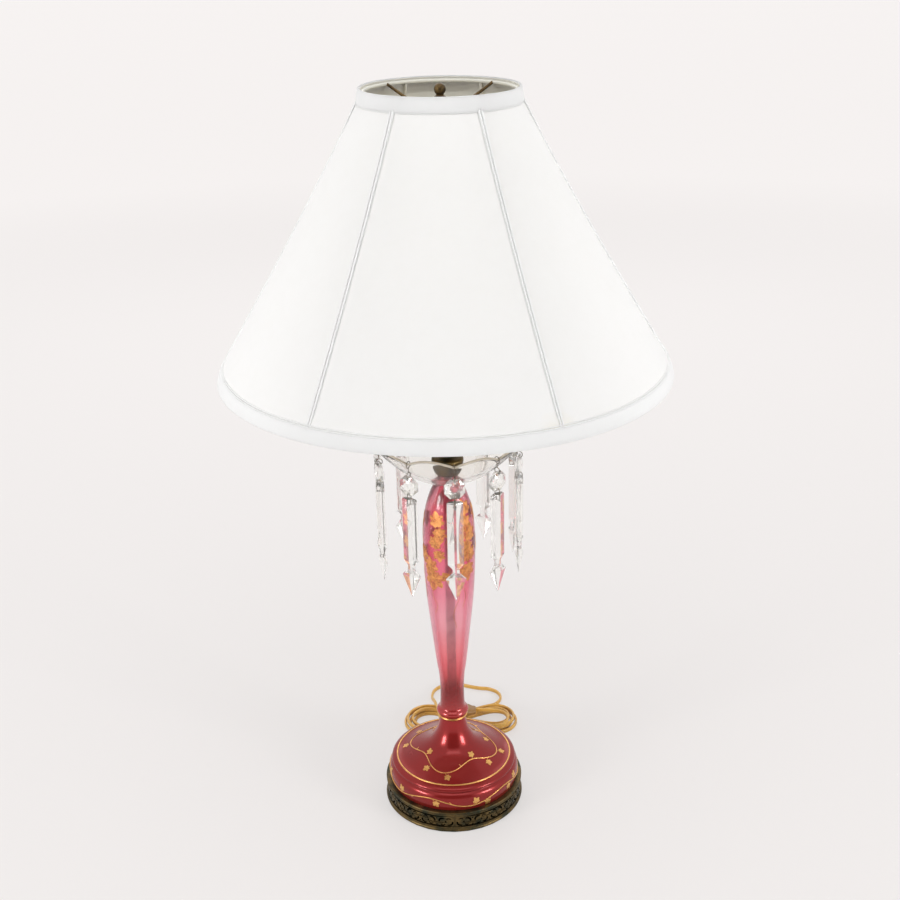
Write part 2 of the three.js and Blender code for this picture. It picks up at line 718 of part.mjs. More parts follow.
// Harp saddle: a flat strap whose arms bend up on either side and end in upright tongues.
function harpSaddle() {
  const inner = SADDLE_HALF_WIDTH - SADDLE_THICKNESS / 2;
  const outer = SADDLE_HALF_WIDTH + SADDLE_THICKNESS / 2;
  const strap = new THREE.Shape();
  strap.moveTo(-inner, SADDLE_RISE);
  strap.lineTo(-outer, SADDLE_RISE);
  strap.lineTo(-outer, 0.35 * SADDLE_RISE);
  strap.lineTo(-0.6 * outer, 0);
  strap.lineTo(0.6 * outer, 0);
  strap.lineTo(outer, 0.35 * SADDLE_RISE);
  strap.lineTo(outer, SADDLE_RISE);
  strap.lineTo(inner, SADDLE_RISE);
  strap.lineTo(inner, 0.35 * SADDLE_RISE + 0.6 * SADDLE_THICKNESS);
  strap.lineTo(0.58 * outer, SADDLE_THICKNESS);
  strap.lineTo(-0.58 * outer, SADDLE_THICKNESS);
  strap.lineTo(-inner, 0.35 * SADDLE_RISE + 0.6 * SADDLE_THICKNESS);
  strap.closePath();
  const body = new THREE.ExtrudeGeometry(strap, { depth: SADDLE_WIDTH, bevelEnabled: false });
  body.translate(0, 0, -SADDLE_WIDTH / 2);
  body.rotateX(Math.PI / 2);
  body.translate(0, 0, saddleBottom);
  const hole = rod(
    new THREE.Vector3(0, 0, saddleBottom - SADDLE_THICKNESS),
    new THREE.Vector3(0, 0, saddleBottom + 2 * SADDLE_THICKNESS),
    rodHole,
    12,
  );
  // The upper part of each arm is cut narrow, to enter its sleeve.
  const notches = [-1, 1].flatMap((arm) => [-1, 1].map((side) => {
    const notch = new THREE.BoxGeometry(4 * SADDLE_THICKNESS, SADDLE_WIDTH, 0.6 * SADDLE_RISE);
    notch.translate(
      arm * SADDLE_HALF_WIDTH,
      (side * (SADDLE_WIDTH + TONGUE_WIDTH)) / 2,
      saddleBottom + 0.85 * SADDLE_RISE,
    );
    return notch;
  }));
  return cut(body, [hole, ...notches]);
}

// Harp: a wire bow with straight legs that stand on the saddle's tongues, a crown and its stud.
const legBottom = saddleBottom + SADDLE_RISE + SEAT;
const sleeveBottom = saddleBottom + 0.55 * SADDLE_RISE + SEAT;
const straightTop = sleeveBottom + SLEEVE_LENGTH + SLEEVE_TRAVEL + 2;

function harp() {
  const top = crownTop - CROWN_HEIGHT;
  const bow = top - straightTop;
  const side = [
    [SADDLE_HALF_WIDTH, straightTop],
    [0.68 * HARP_HALF_WIDTH, straightTop + 0.17 * bow],
    [0.93 * HARP_HALF_WIDTH, straightTop + 0.38 * bow],
    [HARP_HALF_WIDTH, straightTop + 0.58 * bow],
    [0.88 * HARP_HALF_WIDTH, straightTop + 0.8 * bow],
    [0.55 * HARP_HALF_WIDTH, straightTop + 0.95 * bow],
    [0.2 * HARP_HALF_WIDTH, top],
  ].map(([x, z]) => new THREE.Vector3(x, 0, z));
  const other = side.map((point) => point.clone().setX(-point.x));
  const foot = new THREE.Vector3(SADDLE_HALF_WIDTH, 0, legBottom);
  const otherFoot = foot.clone().setX(-foot.x);
  const curve = new THREE.CurvePath();
  curve.add(new THREE.LineCurve3(otherFoot, other[0]));
  curve.add(new THREE.CatmullRomCurve3([...other, ...side.reverse()]));
  curve.add(new THREE.LineCurve3(side[side.length - 1], foot));
  const crown = turned([
    [0, top - HARP_WIRE],
    [CROWN_RADIUS, top - HARP_WIRE],
    [CROWN_RADIUS, crownTop],
    [0, crownTop],
  ], 12);
  const stud = turned([
    [0, top],
    [STUD_RADIUS, top],
    [STUD_RADIUS, crownTop + STUD_LENGTH],
    [0, crownTop + STUD_LENGTH],
  ], 12);
  return joined([bar(curve, HARP_WIRE, 6, 30), crown, stud]);
}

function harpSleeve(side) {
  const bore = Math.hypot(TONGUE_WIDTH / 2, SADDLE_THICKNESS / 2) + RUNNING + 0.15;
  const sleeve = disc(bore + SLEEVE_WALL, bore, 0, SLEEVE_LENGTH, 12);
  sleeve.translate(side * SADDLE_HALF_WIDTH, 0, sleeveBottom);
  return sleeve;
}

// Socket: a cap on the rod, a thin shell with a boss for the switch, and a card liner.
function socketCap() {
  const low = capBottom;
  const outer = [
    [NECK_TUBE_RADIUS + 1.5, low],
    [NECK_TUBE_RADIUS + 2.5, low + 2],
    [0.75 * SOCKET_RADIUS, low + 0.3 * SOCKET_CAP_HEIGHT],
    [0.96 * SOCKET_RADIUS, low + 0.62 * SOCKET_CAP_HEIGHT],
    [SOCKET_RADIUS, low + SOCKET_CAP_HEIGHT],
  ];
  const inner = [
    [rodHole, low],
    [rodHole, low + 3],
    [0.7 * SOCKET_RADIUS, low + 0.5 * SOCKET_CAP_HEIGHT],
    [SOCKET_RADIUS - SOCKET_WALL, low + SOCKET_CAP_HEIGHT],
  ];
  return turnedShell(outer, inner, 16);
}

const knobHeight = shellBottom + KNOB_HEIGHT;

function socketShell() {
  const outer = [
    [SOCKET_RADIUS, shellBottom],
    [SOCKET_RADIUS, shellTop - 1.5],
    [SOCKET_RADIUS + 0.5, shellTop],
  ];
  const inner = [[SOCKET_RADIUS - SOCKET_WALL, shellBottom], [SOCKET_RADIUS - SOCKET_WALL, shellTop]];
  const shell = turnedShell(outer, inner, 16);
  const boss = rod(
    new THREE.Vector3(0, -SOCKET_RADIUS + SOCKET_WALL, knobHeight),
    new THREE.Vector3(0, -SOCKET_RADIUS - BOSS_REACH, knobHeight),
    KNOB_SHAFT + BOSS_REACH,
    10,
  );
  const inside = turned([
    [0, shellBottom],
    [SOCKET_RADIUS - SOCKET_WALL, shellBottom],
    [SOCKET_RADIUS - SOCKET_WALL, shellTop],
    [0, shellTop],
  ], 16);
  return joined([shell, cut(boss, [inside])]);
}

function socketLiner() {
  const outside = SOCKET_RADIUS - SOCKET_WALL - SEAT - 0.2;
  return turnedShell(
    [[outside, shellBottom + 1], [outside, shellTop]],
    [[outside - LINER_WALL, shellBottom + 1], [outside - LINER_WALL, shellTop]],
    16,
  );
}

// Turn switch: a shaft that starts at the boss and ends in a flat key.
function switchKnob() {
  const start = -SOCKET_RADIUS - BOSS_REACH - SEAT;
  const keyMiddle = start - KNOB_REACH + KNOB_DEPTH / 2;
  const shaft = rod(
    new THREE.Vector3(0, start, knobHeight),
    new THREE.Vector3(0, keyMiddle + 1, knobHeight),
    KNOB_SHAFT,
    8,
  );
  const key = new THREE.BoxGeometry(KNOB_WIDTH, KNOB_DEPTH, KNOB_THICKNESS);
  key.translate(0, keyMiddle, knobHeight);
  return joined([shaft, key]);
}

// Bulb: a screw base and a pear-shaped envelope.
function bulbBase() {
  const low = bulbBaseBottom;
  const top = low + BULB_BASE_LENGTH;
  return turned([
    [0, low],
    [4, low],
    [BULB_BASE_RADIUS - 3, low + 3],
    [BULB_BASE_RADIUS, low + 5],
    [BULB_BASE_RADIUS, top - 3],
    [BULB_BASE_RADIUS + 0.4, top],
    [0, top],
  ], 12);
}

function bulbGlobe() {
  const ball = bulbBottom + BULB_LENGTH - BULB_RADIUS;
  const arc = Array.from({ length: 7 }, (_, i) => {
    const angle = degrees(-35 + (125 * i) / 6);
    return [Math.max(BULB_RADIUS * Math.cos(angle), 0), ball + BULB_RADIUS * Math.sin(angle)];
  });
  arc[6][0] = 0;
  return turned([
    [0, bulbBottom],
    [BULB_BASE_RADIUS - 0.5, bulbBottom],
    [BULB_BASE_RADIUS + 1.5, bulbBottom + 10],
    ...arc,
  ], 16);
}

// Finial: a flange, a neck and a ball, bored from below for the stud.
function finial() {
  const low = finialBottom;
  const ball = low + FINIAL_HEIGHT - FINIAL_BALL;
  const bore = STUD_RADIUS + RUNNING;
  const arc = Array.from({ length: 7 }, (_, i) => {
    const angle = degrees(-52 + (142 * i) / 6);
    return [FINIAL_BALL * Math.cos(angle), ball + FINIAL_BALL * Math.sin(angle)];
  });
  arc[6][0] = 0;
  return turned([
    [0, crownTop + STUD_LENGTH + 0.6],
    [bore, crownTop + STUD_LENGTH + 0.6],
    [bore, low],
    [bore + 3, low],
    [bore + 3, low + 3],
    [bore + 1.2, low + 4.5],
    [bore + 1.2, ball - FINIAL_BALL - 1.6],
    [bore + 2, ball - FINIAL_BALL - 0.2],
    ...arc,
  ], 12);
}

// Shade. The cover stands nearly upright under its two bands and is a cone between them,
// bowed in a little, with a raised double seam at each rib.
const hemTop = shadeBottom + BOTTOM_BAND;
const collarBottom = shadeTop - TOP_BAND;
const panelMiddle = (hemTop + collarBottom) / 2;
const shadeSlope = Math.atan((SHADE_HEM_RADIUS - SHADE_COLLAR_RADIUS) / (collarBottom - hemTop));
const hemSlope = Math.atan(Math.abs(SHADE_BOTTOM_RADIUS - SHADE_HEM_RADIUS) / BOTTOM_BAND);
const coverAcross = SHADE_WALL / Math.cos(shadeSlope);

function shadeRadius(height) {
  const { lerp } = THREE.MathUtils;
  if (height > collarBottom) {
    return lerp(SHADE_COLLAR_RADIUS, SHADE_TOP_RADIUS, (height - collarBottom) / TOP_BAND);
  }
  if (height < hemTop) {
    return lerp(SHADE_BOTTOM_RADIUS, SHADE_HEM_RADIUS, (height - shadeBottom) / BOTTOM_BAND);
  }
  const share = (height - hemTop) / (collarBottom - hemTop);
  return lerp(SHADE_HEM_RADIUS, SHADE_COLLAR_RADIUS, share) - 4 * PANEL_BOW * share * (1 - share);
}

const seamAzimuths = Array.from(
  { length: PANEL_COUNT },
  (_, i) => degrees(PANEL_TURN + 30 + (360 * i) / PANEL_COUNT),
);
const panelAzimuths = seamAzimuths.flatMap((seam) =>
  [0, 0.2, 0.4, 0.6, 0.8].map((share) => seam + (share * 2 * Math.PI) / PANEL_COUNT));
const seamHalf = SEAM_WIDTH / 2 / SHADE_TOP_RADIUS;

// A ring of cloth through the given heights, a thickness inward from a distance outside the cover.
function clothRing(azimuths, heights, outside, across) {
  return ringOf(azimuths, (azimuth) => {
    const outer = heights.map((height) => [shadeRadius(height) + outside(azimuth), height]);
    const inner = outer.map(([radius, height]) => [radius - across, height]);
    return [...outer, ...inner.reverse()];
  });
}

function shadeCover() {
  const azimuths = panelAzimuths.flatMap((azimuth) =>
    (seamAzimuths.includes(azimuth) ? [azimuth - seamHalf, azimuth, azimuth + seamHalf] : [azimuth]));
  const heights = [shadeBottom + 0.5, hemTop, panelMiddle, collarBottom, shadeTop - 0.5];
  const seam = (azimuth) => (seamAzimuths.includes(azimuth) ? SEAM_RISE : 0);
  return clothRing(azimuths, heights, seam, coverAcross);
}

function shadeBand(low, high) {
  return clothRing(panelAzimuths, [low, high], () => SEAM_RISE + SEAT + BAND_THICKNESS, BAND_THICKNESS);
}

// Wire rings inside the cover, near its top and its bottom, clear of its flattest stretch.
const frameInset = coverAcross + (SEAT + RING_WIRE) / Math.cos(Math.max(shadeSlope, hemSlope));
const highRing = shadeTop - 4;
const lowRing = shadeBottom + 3;

function wireRing(height) {
  const radius = shadeRadius(height) - frameInset;
  const corners = polygon(4, RING_WIRE).map(({ x, y }) => new THREE.Vector2(x, y));
  return ringOf(panelAzimuths, () => corners.map(({ x, y }) => [radius + x, height + y]));
}

// Spider: the top ring, and four arms that drop to the hub on the harp.
function shadeSpider() {
  const hubMiddle = hubBottom + HUB_THICKNESS / 2;
  const arms = Array.from({ length: ARM_COUNT }, (_, i) => {
    const azimuth = degrees(45 + (360 * i) / ARM_COUNT);
    const curve = new THREE.CatmullRomCurve3([
      around(HUB_RADIUS - 3, azimuth, hubMiddle),
      around(HUB_RADIUS + 2, azimuth, hubMiddle),
      around(0.55 * SHADE_TOP_RADIUS, azimuth, hubMiddle + 0.42 * (highRing - hubMiddle)),
      around(shadeRadius(highRing) - frameInset, azimuth, highRing),
    ]);
    return bar(curve, ARM_WIRE, 4, 4);
  });
  const hub = turned([
    [0, hubBottom],
    [HUB_RADIUS, hubBottom],
    [HUB_RADIUS, hubBottom + HUB_THICKNESS],
    [0, hubBottom + HUB_THICKNESS],
  ], 12);
  const hole = rod(
    new THREE.Vector3(0, 0, hubBottom - HUB_THICKNESS),
    new THREE.Vector3(0, 0, hubBottom + 2 * HUB_THICKNESS),
    STUD_RADIUS + RUNNING,
    12,
  );
  return cut(joined([wireRing(highRing), ...arms, hub]), [hole]);
}

// Cage: a rib under each seam, bent to the cover and welded to the bottom ring.
function shadeCage() {
  const heights = [lowRing, hemTop, panelMiddle, collarBottom, highRing - RING_WIRE - SEAT];
  const corners = polygon(4, RIB_WIRE);
  const ribs = seamAzimuths.map((azimuth) => tubeOf(heights.map((height) => {
    const middle = around(shadeRadius(height) - frameInset, azimuth, height);
    return corners.map(({ x, y }) => middle.clone().add(new THREE.Vector3(x, y, 0)));
  })));
  return joined([wireRing(lowRing), ...ribs]);
}

// Strain relief in the gallery's wall: a collar inside, a neck and a tapered sleeve outside.
const reliefNeck = CORD_WIDTH / 2 + 1;
const exitAzimuth = degrees(CORD_EXIT_TURN);
const exitDirection = around(1, exitAzimuth, 0);
const reliefStart = GALLERY_RADIUS + SEAT;
const reliefTip = GALLERY_RADIUS + RELIEF_LENGTH;

function strainRelief() {
  const wall = galleryInside;
  const sleeve = turned([
    [0, wall - SEAT - RELIEF_COLLAR],
    [RELIEF_RADIUS, wall - SEAT - RELIEF_COLLAR],
    [RELIEF_RADIUS, wall - SEAT],
    [reliefNeck, wall - SEAT],
    [reliefNeck, reliefStart],
    [RELIEF_RADIUS, reliefStart],
    [RELIEF_RADIUS, reliefStart + RELIEF_COLLAR],
    [CORD_WIDTH / 2 + RELIEF_TIP_WALL, reliefTip],
    [0, reliefTip],
  ], 12);
  sleeve.rotateX(Math.PI / 2);
  sleeve.rotateZ(exitAzimuth);
  sleeve.translate(0, 0, CORD_EXIT_HEIGHT);
  return sleeve;
}

// The cord enters the hank, and the plug, heading left.
const intoHank = new THREE.Vector3(-1, 0, 0);

// The cord lies on the table, its lowest side just above it.
const cordRest = CORD_WIDTH / 2 + 0.1;

// One point of the hank's route. Loops nest at a steady pitch, inward in the lower layer
// and outward in the upper one, drawn in at the waist, and the climb is along a run.
function hankPoint(turn) {
  const reverse = (HANK_TURNS + 0.5) / 2;
  const inward = HANK_PITCH * (reverse - Math.abs(turn - reverse));
  const radius = HANK_END_RADIUS - inward;
  const part = ((turn % 1) + 1) % 1;
  const [run, half] = [HANK_HALF_RUN, HANK_LOOP_STEPS / 24];
  const step = part * HANK_LOOP_STEPS;
  let x;
  let y;
  if (step < 3 * half) [x, y] = [(-run * step) / (3 * half), radius];
  else if (step < 9 * half) {
    const angle = (Math.PI * (step - 3 * half)) / (6 * half);
    [x, y] = [-run - radius * Math.sin(angle), radius * Math.cos(angle)];
  } else if (step < 15 * half) [x, y] = [-run + (run * (step - 9 * half)) / (3 * half), -radius];
  else if (step < 21 * half) {
    const angle = (Math.PI * (step - 15 * half)) / (6 * half);
    [x, y] = [run + radius * Math.sin(angle), -radius * Math.cos(angle)];
  } else [x, y] = [run - (run * (step - 21 * half)) / (3 * half), radius];
  if (Math.abs(x) < run) {
    y -= (Math.sign(y) * HANK_WAIST * (1 + Math.cos((Math.PI * x) / run))) / 2;
  }
  const climb = THREE.MathUtils.smoothstep(turn, reverse - 0.14, reverse + 0.14);
  return new THREE.Vector3(HANK_CENTRE[0] + x, HANK_CENTRE[1] + y, cordRest + HANK_LAYER * climb);
}

// The last half loop climbs onto the hank, turns back over it and ends at the plug.
const plugBack = HANK_CENTRE[0] + PLUG_BACK;
const plugLine = HANK_CENTRE[1] + PLUG_SIDE;
const plugHeight = cordRest + HANK_LAYER + CORD_WIDTH / 2 + SEAT + PLUG_THICKNESS / 2 + 0.2;

function hankRoute() {
  const steps = HANK_TURNS * HANK_LOOP_STEPS;
  const points = Array.from({ length: steps + 1 }, (_, i) => hankPoint(i / HANK_LOOP_STEPS));
  const last = points[points.length - 1];
  const turnX = HANK_CENTRE[0] + HANK_HALF_RUN;
  const low = HANK_CENTRE[1] - HANK_END_RADIUS + HANK_PITCH * 0.4;
  const turnRadius = (plugLine - low) / 2;
  const top = cordRest + 2 * HANK_LAYER;
  for (let i = 1; i <= 3; i++) {
    const share = i / 3;
    const dip = (1 + Math.cos(Math.PI * share)) / 2;
    const y = low + (last.y - low) * dip;
    const climb = THREE.MathUtils.smoothstep(share, 0.1, 0.95);
    points.push(new THREE.Vector3(
      last.x + (turnX - last.x) * share,
      y,
      last.z + (top - last.z) * climb,
    ));
  }
  for (let i = 1; i <= 6; i++) {
    const angle = (Math.PI * i) / 6;
    points.push(new THREE.Vector3(
      turnX + turnRadius * Math.sin(angle),
      low + turnRadius * (1 - Math.cos(angle)),
      top + (plugHeight - top) * 0.5 * (i / 6),
    ));
  }
  points.push(new THREE.Vector3((turnX + plugBack + CORD_WIDTH) / 2, plugLine, plugHeight - 0.3));
  points.push(new THREE.Vector3(plugBack + CORD_WIDTH, plugLine, plugHeight));
  points.push(new THREE.Vector3(plugBack + SEAT, plugLine, plugHeight));
  return points;
}

// A tube through the route that starts and ends square to the given directions.
function cordTube(route, sides, start, end) {
  const sections = route.map((point, i) => {
    let along = start;
    if (i === route.length - 1) along = end;
    else if (i > 0) along = route[i + 1].clone().sub(route[i - 1]).normalize();
    const side = new THREE.Vector3().crossVectors(along, new THREE.Vector3(0, 0, 1)).normalize();
    const up = new THREE.Vector3().crossVectors(side, along);
    return Array.from({ length: sides }, (_, k) => {
      const angle = (2 * Math.PI * k) / sides;
      return point.clone()
        .addScaledVector(side, (CORD_WIDTH / 2) * Math.cos(angle))
        .addScaledVector(up, (CORD_WIDTH / 2) * Math.sin(angle));
    });
  });
  return tubeOf(sections);
}

// The least distance between the surfaces of two parts of the route that are not neighbours.
function leastGap(route) {
  const fine = [];
  for (let i = 0; i < route.length - 1; i++) {
    for (let k = 0; k < 5; k++) fine.push(route[i].clone().lerp(route[i + 1], k / 5));
  }
  const along = [0];
  for (let i = 1; i < fine.length; i++) along.push(along[i - 1] + fine[i].distanceTo(fine[i - 1]));
  let least = Infinity;
  for (let i = 0; i < fine.length; i++) {
    for (let j = i + 1; j < fine.length; j++) {
      if (along[j] - along[i] < 5 * CORD_WIDTH) continue;
      least = Math.min(least, fine[i].distanceTo(fine[j]));
    }
  }
  return least - CORD_WIDTH;
}

// The free stretch: out of the relief, over the hank's left run, round at the back, round
// again on the right and into the hank's first run.
function leadRoute() {
  const tip = exitDirection.clone().multiplyScalar(reliefTip + SEAT);
  const start = hankPoint(0);
  const free = [
    [tip.x, tip.y, CORD_EXIT_HEIGHT],
    [tip.x + CORD_WIDTH * exitDirection.x, tip.y + CORD_WIDTH * exitDirection.y, CORD_EXIT_HEIGHT],
    [-15, 114, 14.2],
    [-17, 128, 14],
    [-19.2, 141, 13.9],
    [-21.5, 153, 13.7],
    [-23.6, 164, 10.3],
    [-25.3, 175, 5.2],
    [-26, 186, cordRest + 0.3],
    [-23, 198, cordRest],
    [-14, 207, cordRest],
    [-2, 211, cordRest],
    [11, 209.5, cordRest],
    [24, 204.5, cordRest],
    [35, 201, cordRest],
    [46, 199, cordRest],
    [56, 192, cordRest],
    [60.5, 181.5, cordRest],
    [58.5, 171, cordRest],
    [51.5, 163.2, cordRest],
    [42.5, 160, cordRest],
  ].map((point) => new THREE.Vector3(...point));
  const tail = [-2, -1, -0.5].map((step) => hankPoint(step / HANK_LOOP_STEPS));
  const square = [SEAT + CORD_WIDTH / 2, SEAT].map((back) => start.clone().setX(start.x + back));
  return [...free, ...tail, ...square];
}

function cordLead() {
  const curve = new THREE.CatmullRomCurve3(leadRoute(), false, 'centripetal');
  return cordTube(curve.getSpacedPoints(36), CORD_SIDES, exitDirection, intoHank);
}

// Plug: a flat moulded body lying on the hank, with two blades.
function plug() {
  const body = tubeOf([
    [0, 0.32, 0.55],
    [0.18, 0.36, 0.6],
    [0.42, 0.5, 1],
    [0.9, 0.5, 1],
    [1, 0.44, 0.9],
  ].map(([along, wide, thick]) => {
    const x = plugBack - along * PLUG_LENGTH;
    const half = wide * PLUG_WIDTH;
    const deep = (thick * PLUG_THICKNESS) / 2;
    return [[-half, -0.55 * deep], [-0.75 * half, -deep], [0.75 * half, -deep], [half, -0.55 * deep],
      [half, 0.55 * deep], [0.75 * half, deep], [-0.75 * half, deep], [-half, 0.55 * deep]]
      .map(([y, z]) => new THREE.Vector3(x, plugLine + y, plugHeight + z));
  }));
  const blades = [-1, 1].map((side) => {
    const blade = new THREE.BoxGeometry(BLADE_LENGTH + 2, BLADE_THICKNESS, BLADE_WIDTH);
    const middle = plugBack - PLUG_LENGTH - BLADE_LENGTH / 2 + 1;
    blade.translate(middle, plugLine + (side * BLADE_SPACING) / 2, plugHeight);
    return blade;
  });
  return joined([body, ...blades]);
}

place('felt_pad', feltPad(), FELT);
place('base_gallery', gallery(), ANTIQUE_BRASS);
place('base_plate', steelPlate(), STEEL);
place('base_weight', ironWeight(), IRON);
place('rod_nut', hexNut(), BRASS);
place('threaded_rod', threadedRod(), STEEL);
place('glass_foot', glassFoot(), RUBY_GLASS);
place('glass_stem', glassStem(), RUBY_GLASS);
place('bobeche_dish', glassDish(), CLEAR_GLASS);
place('brass_cup', brassCup(), ANTIQUE_BRASS);
place('harp_saddle', harpSaddle(), BRASS);
place('harp', harp(), BRASS);
place('harp_sleeve_left', harpSleeve(-1), BRASS);
place('harp_sleeve_right', harpSleeve(1), BRASS);
place('socket_cap', socketCap(), BRASS);
place('socket_shell', socketShell(), BRASS);
place('socket_liner', socketLiner(), CARD);
place('switch_knob', switchKnob(), BAKELITE);
place('bulb_base', bulbBase(), STEEL);
place('bulb_globe', bulbGlobe(), { color: 0xf4f2ea, roughness: 0.3, metalness: 0 });
place('finial', finial(), ANTIQUE_BRASS);
place('shade_spider', shadeSpider(), ANTIQUE_BRASS);
place('shade_cage', shadeCage(), ANTIQUE_BRASS);
place('shade_cover', shadeCover(), FABRIC);
place('shade_top_band', shadeBand(collarBottom, shadeTop), FABRIC);
place('shade_bottom_band', shadeBand(shadeBottom, hemTop), FABRIC);
place('cord_relief', strainRelief(), CORD);
place('cord_lead', cordLead(), CORD);
place('cord_hank', cordTube(hankRoute(), CORD_SIDES, intoHank, intoHank), CORD);
place('cord_plug', plug(), { color: 0x5a3a1c, roughness: 0.4, metalness: 0 });

// Ten chains of hook, bead and prism, each in a group that stands at its cusp.
chainAzimuths.forEach((azimuth, i) => {
  const chain = new THREE.Group();
  chain.position.copy(around(DISH_RADIUS, azimuth, eyeHeight));
  chain.rotation.z = azimuth;
  const number = String(i + 1).padStart(2, '0');
  place(`hook_${number}`, hook(), BRASS, chain);
  place(`bead_${number}`, bead(), CLEAR_GLASS, chain);
  place(`prism_${number}`, prism(), CLEAR_GLASS, chain);
  group.add(chain);
});

console.log(`least gap of the cord to itself: ${leastGap(hankRoute()).toFixed(2)} mm`);

export default group;
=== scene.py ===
import math
from math import cos, pi, radians, sin

import bmesh
import bpy
from mathutils import Matrix, Vector


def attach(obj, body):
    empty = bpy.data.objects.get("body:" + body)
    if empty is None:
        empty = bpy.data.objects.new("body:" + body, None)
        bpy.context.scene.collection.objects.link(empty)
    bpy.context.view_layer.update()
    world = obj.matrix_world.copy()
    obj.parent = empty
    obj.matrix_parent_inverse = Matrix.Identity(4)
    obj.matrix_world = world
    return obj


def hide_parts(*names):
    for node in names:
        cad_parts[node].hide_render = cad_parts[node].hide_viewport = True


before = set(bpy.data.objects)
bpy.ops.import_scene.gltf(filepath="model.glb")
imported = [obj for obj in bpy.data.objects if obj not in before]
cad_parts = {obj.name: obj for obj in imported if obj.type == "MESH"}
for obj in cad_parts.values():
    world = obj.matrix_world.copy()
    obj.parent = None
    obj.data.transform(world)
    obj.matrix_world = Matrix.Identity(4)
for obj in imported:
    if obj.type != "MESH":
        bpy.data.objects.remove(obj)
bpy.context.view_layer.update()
mm = 0.001


# shader sums written as plain sums

class Field:
    def __init__(self, paint, socket):
        self.paint = paint
        self.socket = socket

    def join(self, operation, first, second):
        return self.paint.node("Math", {"operation": operation}, {0: first, 1: second})

    def __add__(self, other):
        return self.join("ADD", self, other)

    def __radd__(self, other):
        return self.join("ADD", other, self)

    def __sub__(self, other):
        return self.join("SUBTRACT", self, other)

    def __rsub__(self, other):
        return self.join("SUBTRACT", other, self)

    def __mul__(self, other):
        return self.join("MULTIPLY", self, other)

    def __rmul__(self, other):
        return self.join("MULTIPLY", other, self)


# one material: a principled shader, and one method for any other node

class Paint:
    def __init__(self, name, **constants):
        self.material = bpy.data.materials.new(name)
        self.material.use_nodes = True
        self.tree = self.material.node_tree
        self.tree.nodes.clear()
        self.shader = self.tree.nodes.new("ShaderNodeBsdfPrincipled")
        self.output = self.tree.nodes.new("ShaderNodeOutputMaterial")
        self.tree.links.new(self.shader.outputs[0], self.output.inputs[0])
        for socket, value in constants.items():
            self.set(socket, value)

    def feed(self, socket, value):
        if isinstance(value, Field):
            self.tree.links.new(value.socket, socket)
        elif socket.type == "RGBA":
            socket.default_value = (*value, 1)
        else:
            socket.default_value = value

    def set(self, socket, value):
        self.feed(self.shader.inputs[socket.replace("_", " ")], value)

    def node(self, kind, settings=None, inputs=None, out=0):
        made = self.tree.nodes.new("ShaderNode" + kind)
        for key, value in (settings or {}).items():
            if key == "stops":
                ramp = made.color_ramp
                while len(ramp.elements) < len(value):
                    ramp.elements.new(1)
                for element, (place, colour) in zip(ramp.elements, value):
                    element.position = place
                    element.color = (*colour, 1)
            else:
                setattr(made, key, value)
        for key, value in (inputs or {}).items():
            self.feed(made.inputs[key], value)
        return Field(self, made.outputs[out])

    def layer(self, share, **constants):
        # a second principled shader, seen alone where the share is 1
        first = self.shader
        self.shader = self.tree.nodes.new("ShaderNodeBsdfPrincipled")
        for socket, value in constants.items():
            self.set(socket, value)
        both = {0: share, 1: Field(self, first.outputs[0]), 2: Field(self, self.shader.outputs[0])}
        blend = self.node("MixShader", {}, both)
        self.tree.links.new(blend.socket, self.output.inputs[0])
        self.shader = first

    def place(self):
        return self.node("TexCoord", out="Object")

    def axes(self):
        parts = self.node("SeparateXYZ", inputs={0: self.place()})
        return [Field(self, parts.socket.node.outputs[i]) for i in range(3)]

    def noise(self, scale, detail=3):
        return self.node("TexNoise", {}, {"Vector": self.place(), "Scale": scale, "Detail": detail})

    def mix(self, first, second, share, way="MIX"):
        return self.node("Mix", {"data_type": "RGBA", "blend_type": way}, {0: share, 6: first, 7: second}, 2)

    def ramp(self, value, stops):
        return self.node("ValToRGB", {"stops": stops}, {0: value})

    def roughen(self, pattern, least, most):
        # roughness that follows a pattern
        self.set("Roughness", self.spread(pattern, 0.3, 0.7, least, most))

    def spread(self, value, low, high, newLow=0.0, newHigh=1.0):
        return self.node("MapRange", {}, {0: value, 1: low, 2: high, 3: newLow, 4: newHigh})

    def bump(self, height, strength, distance):
        bumped = self.node("Bump", {}, {"Height": height, "Strength": strength, "Distance": distance})
        self.set("Normal", bumped)


collarHeight = 0.105   # where foot and stem meet


def footGlass():
    # deep crimson over the dark base, with a faint lustre
    paint = Paint("footGlass", Metallic=0.4, Coat_Weight=0.28, Coat_Roughness=0.1, IOR=1.5)
    paint.set("Specular_IOR_Level", 0.2)
    glass = [(0.0, (0.27, 0.016, 0.014)), (0.7, (0.27, 0.017, 0.016)), (1.0, (0.38, 0.022, 0.022))]
    body = paint.ramp(paint.spread(paint.axes()[2], 0.0, collarHeight), glass)
    cloudy = paint.noise(22, 4)
    streaks = paint.spread(cloudy, 0.5, 0.85, 0.0, 0.35)
    paint.set("Base_Color", paint.mix(body, (0.16, 0.014, 0.02), streaks))
    paint.roughen(cloudy, 0.2, 0.28)
    return paint


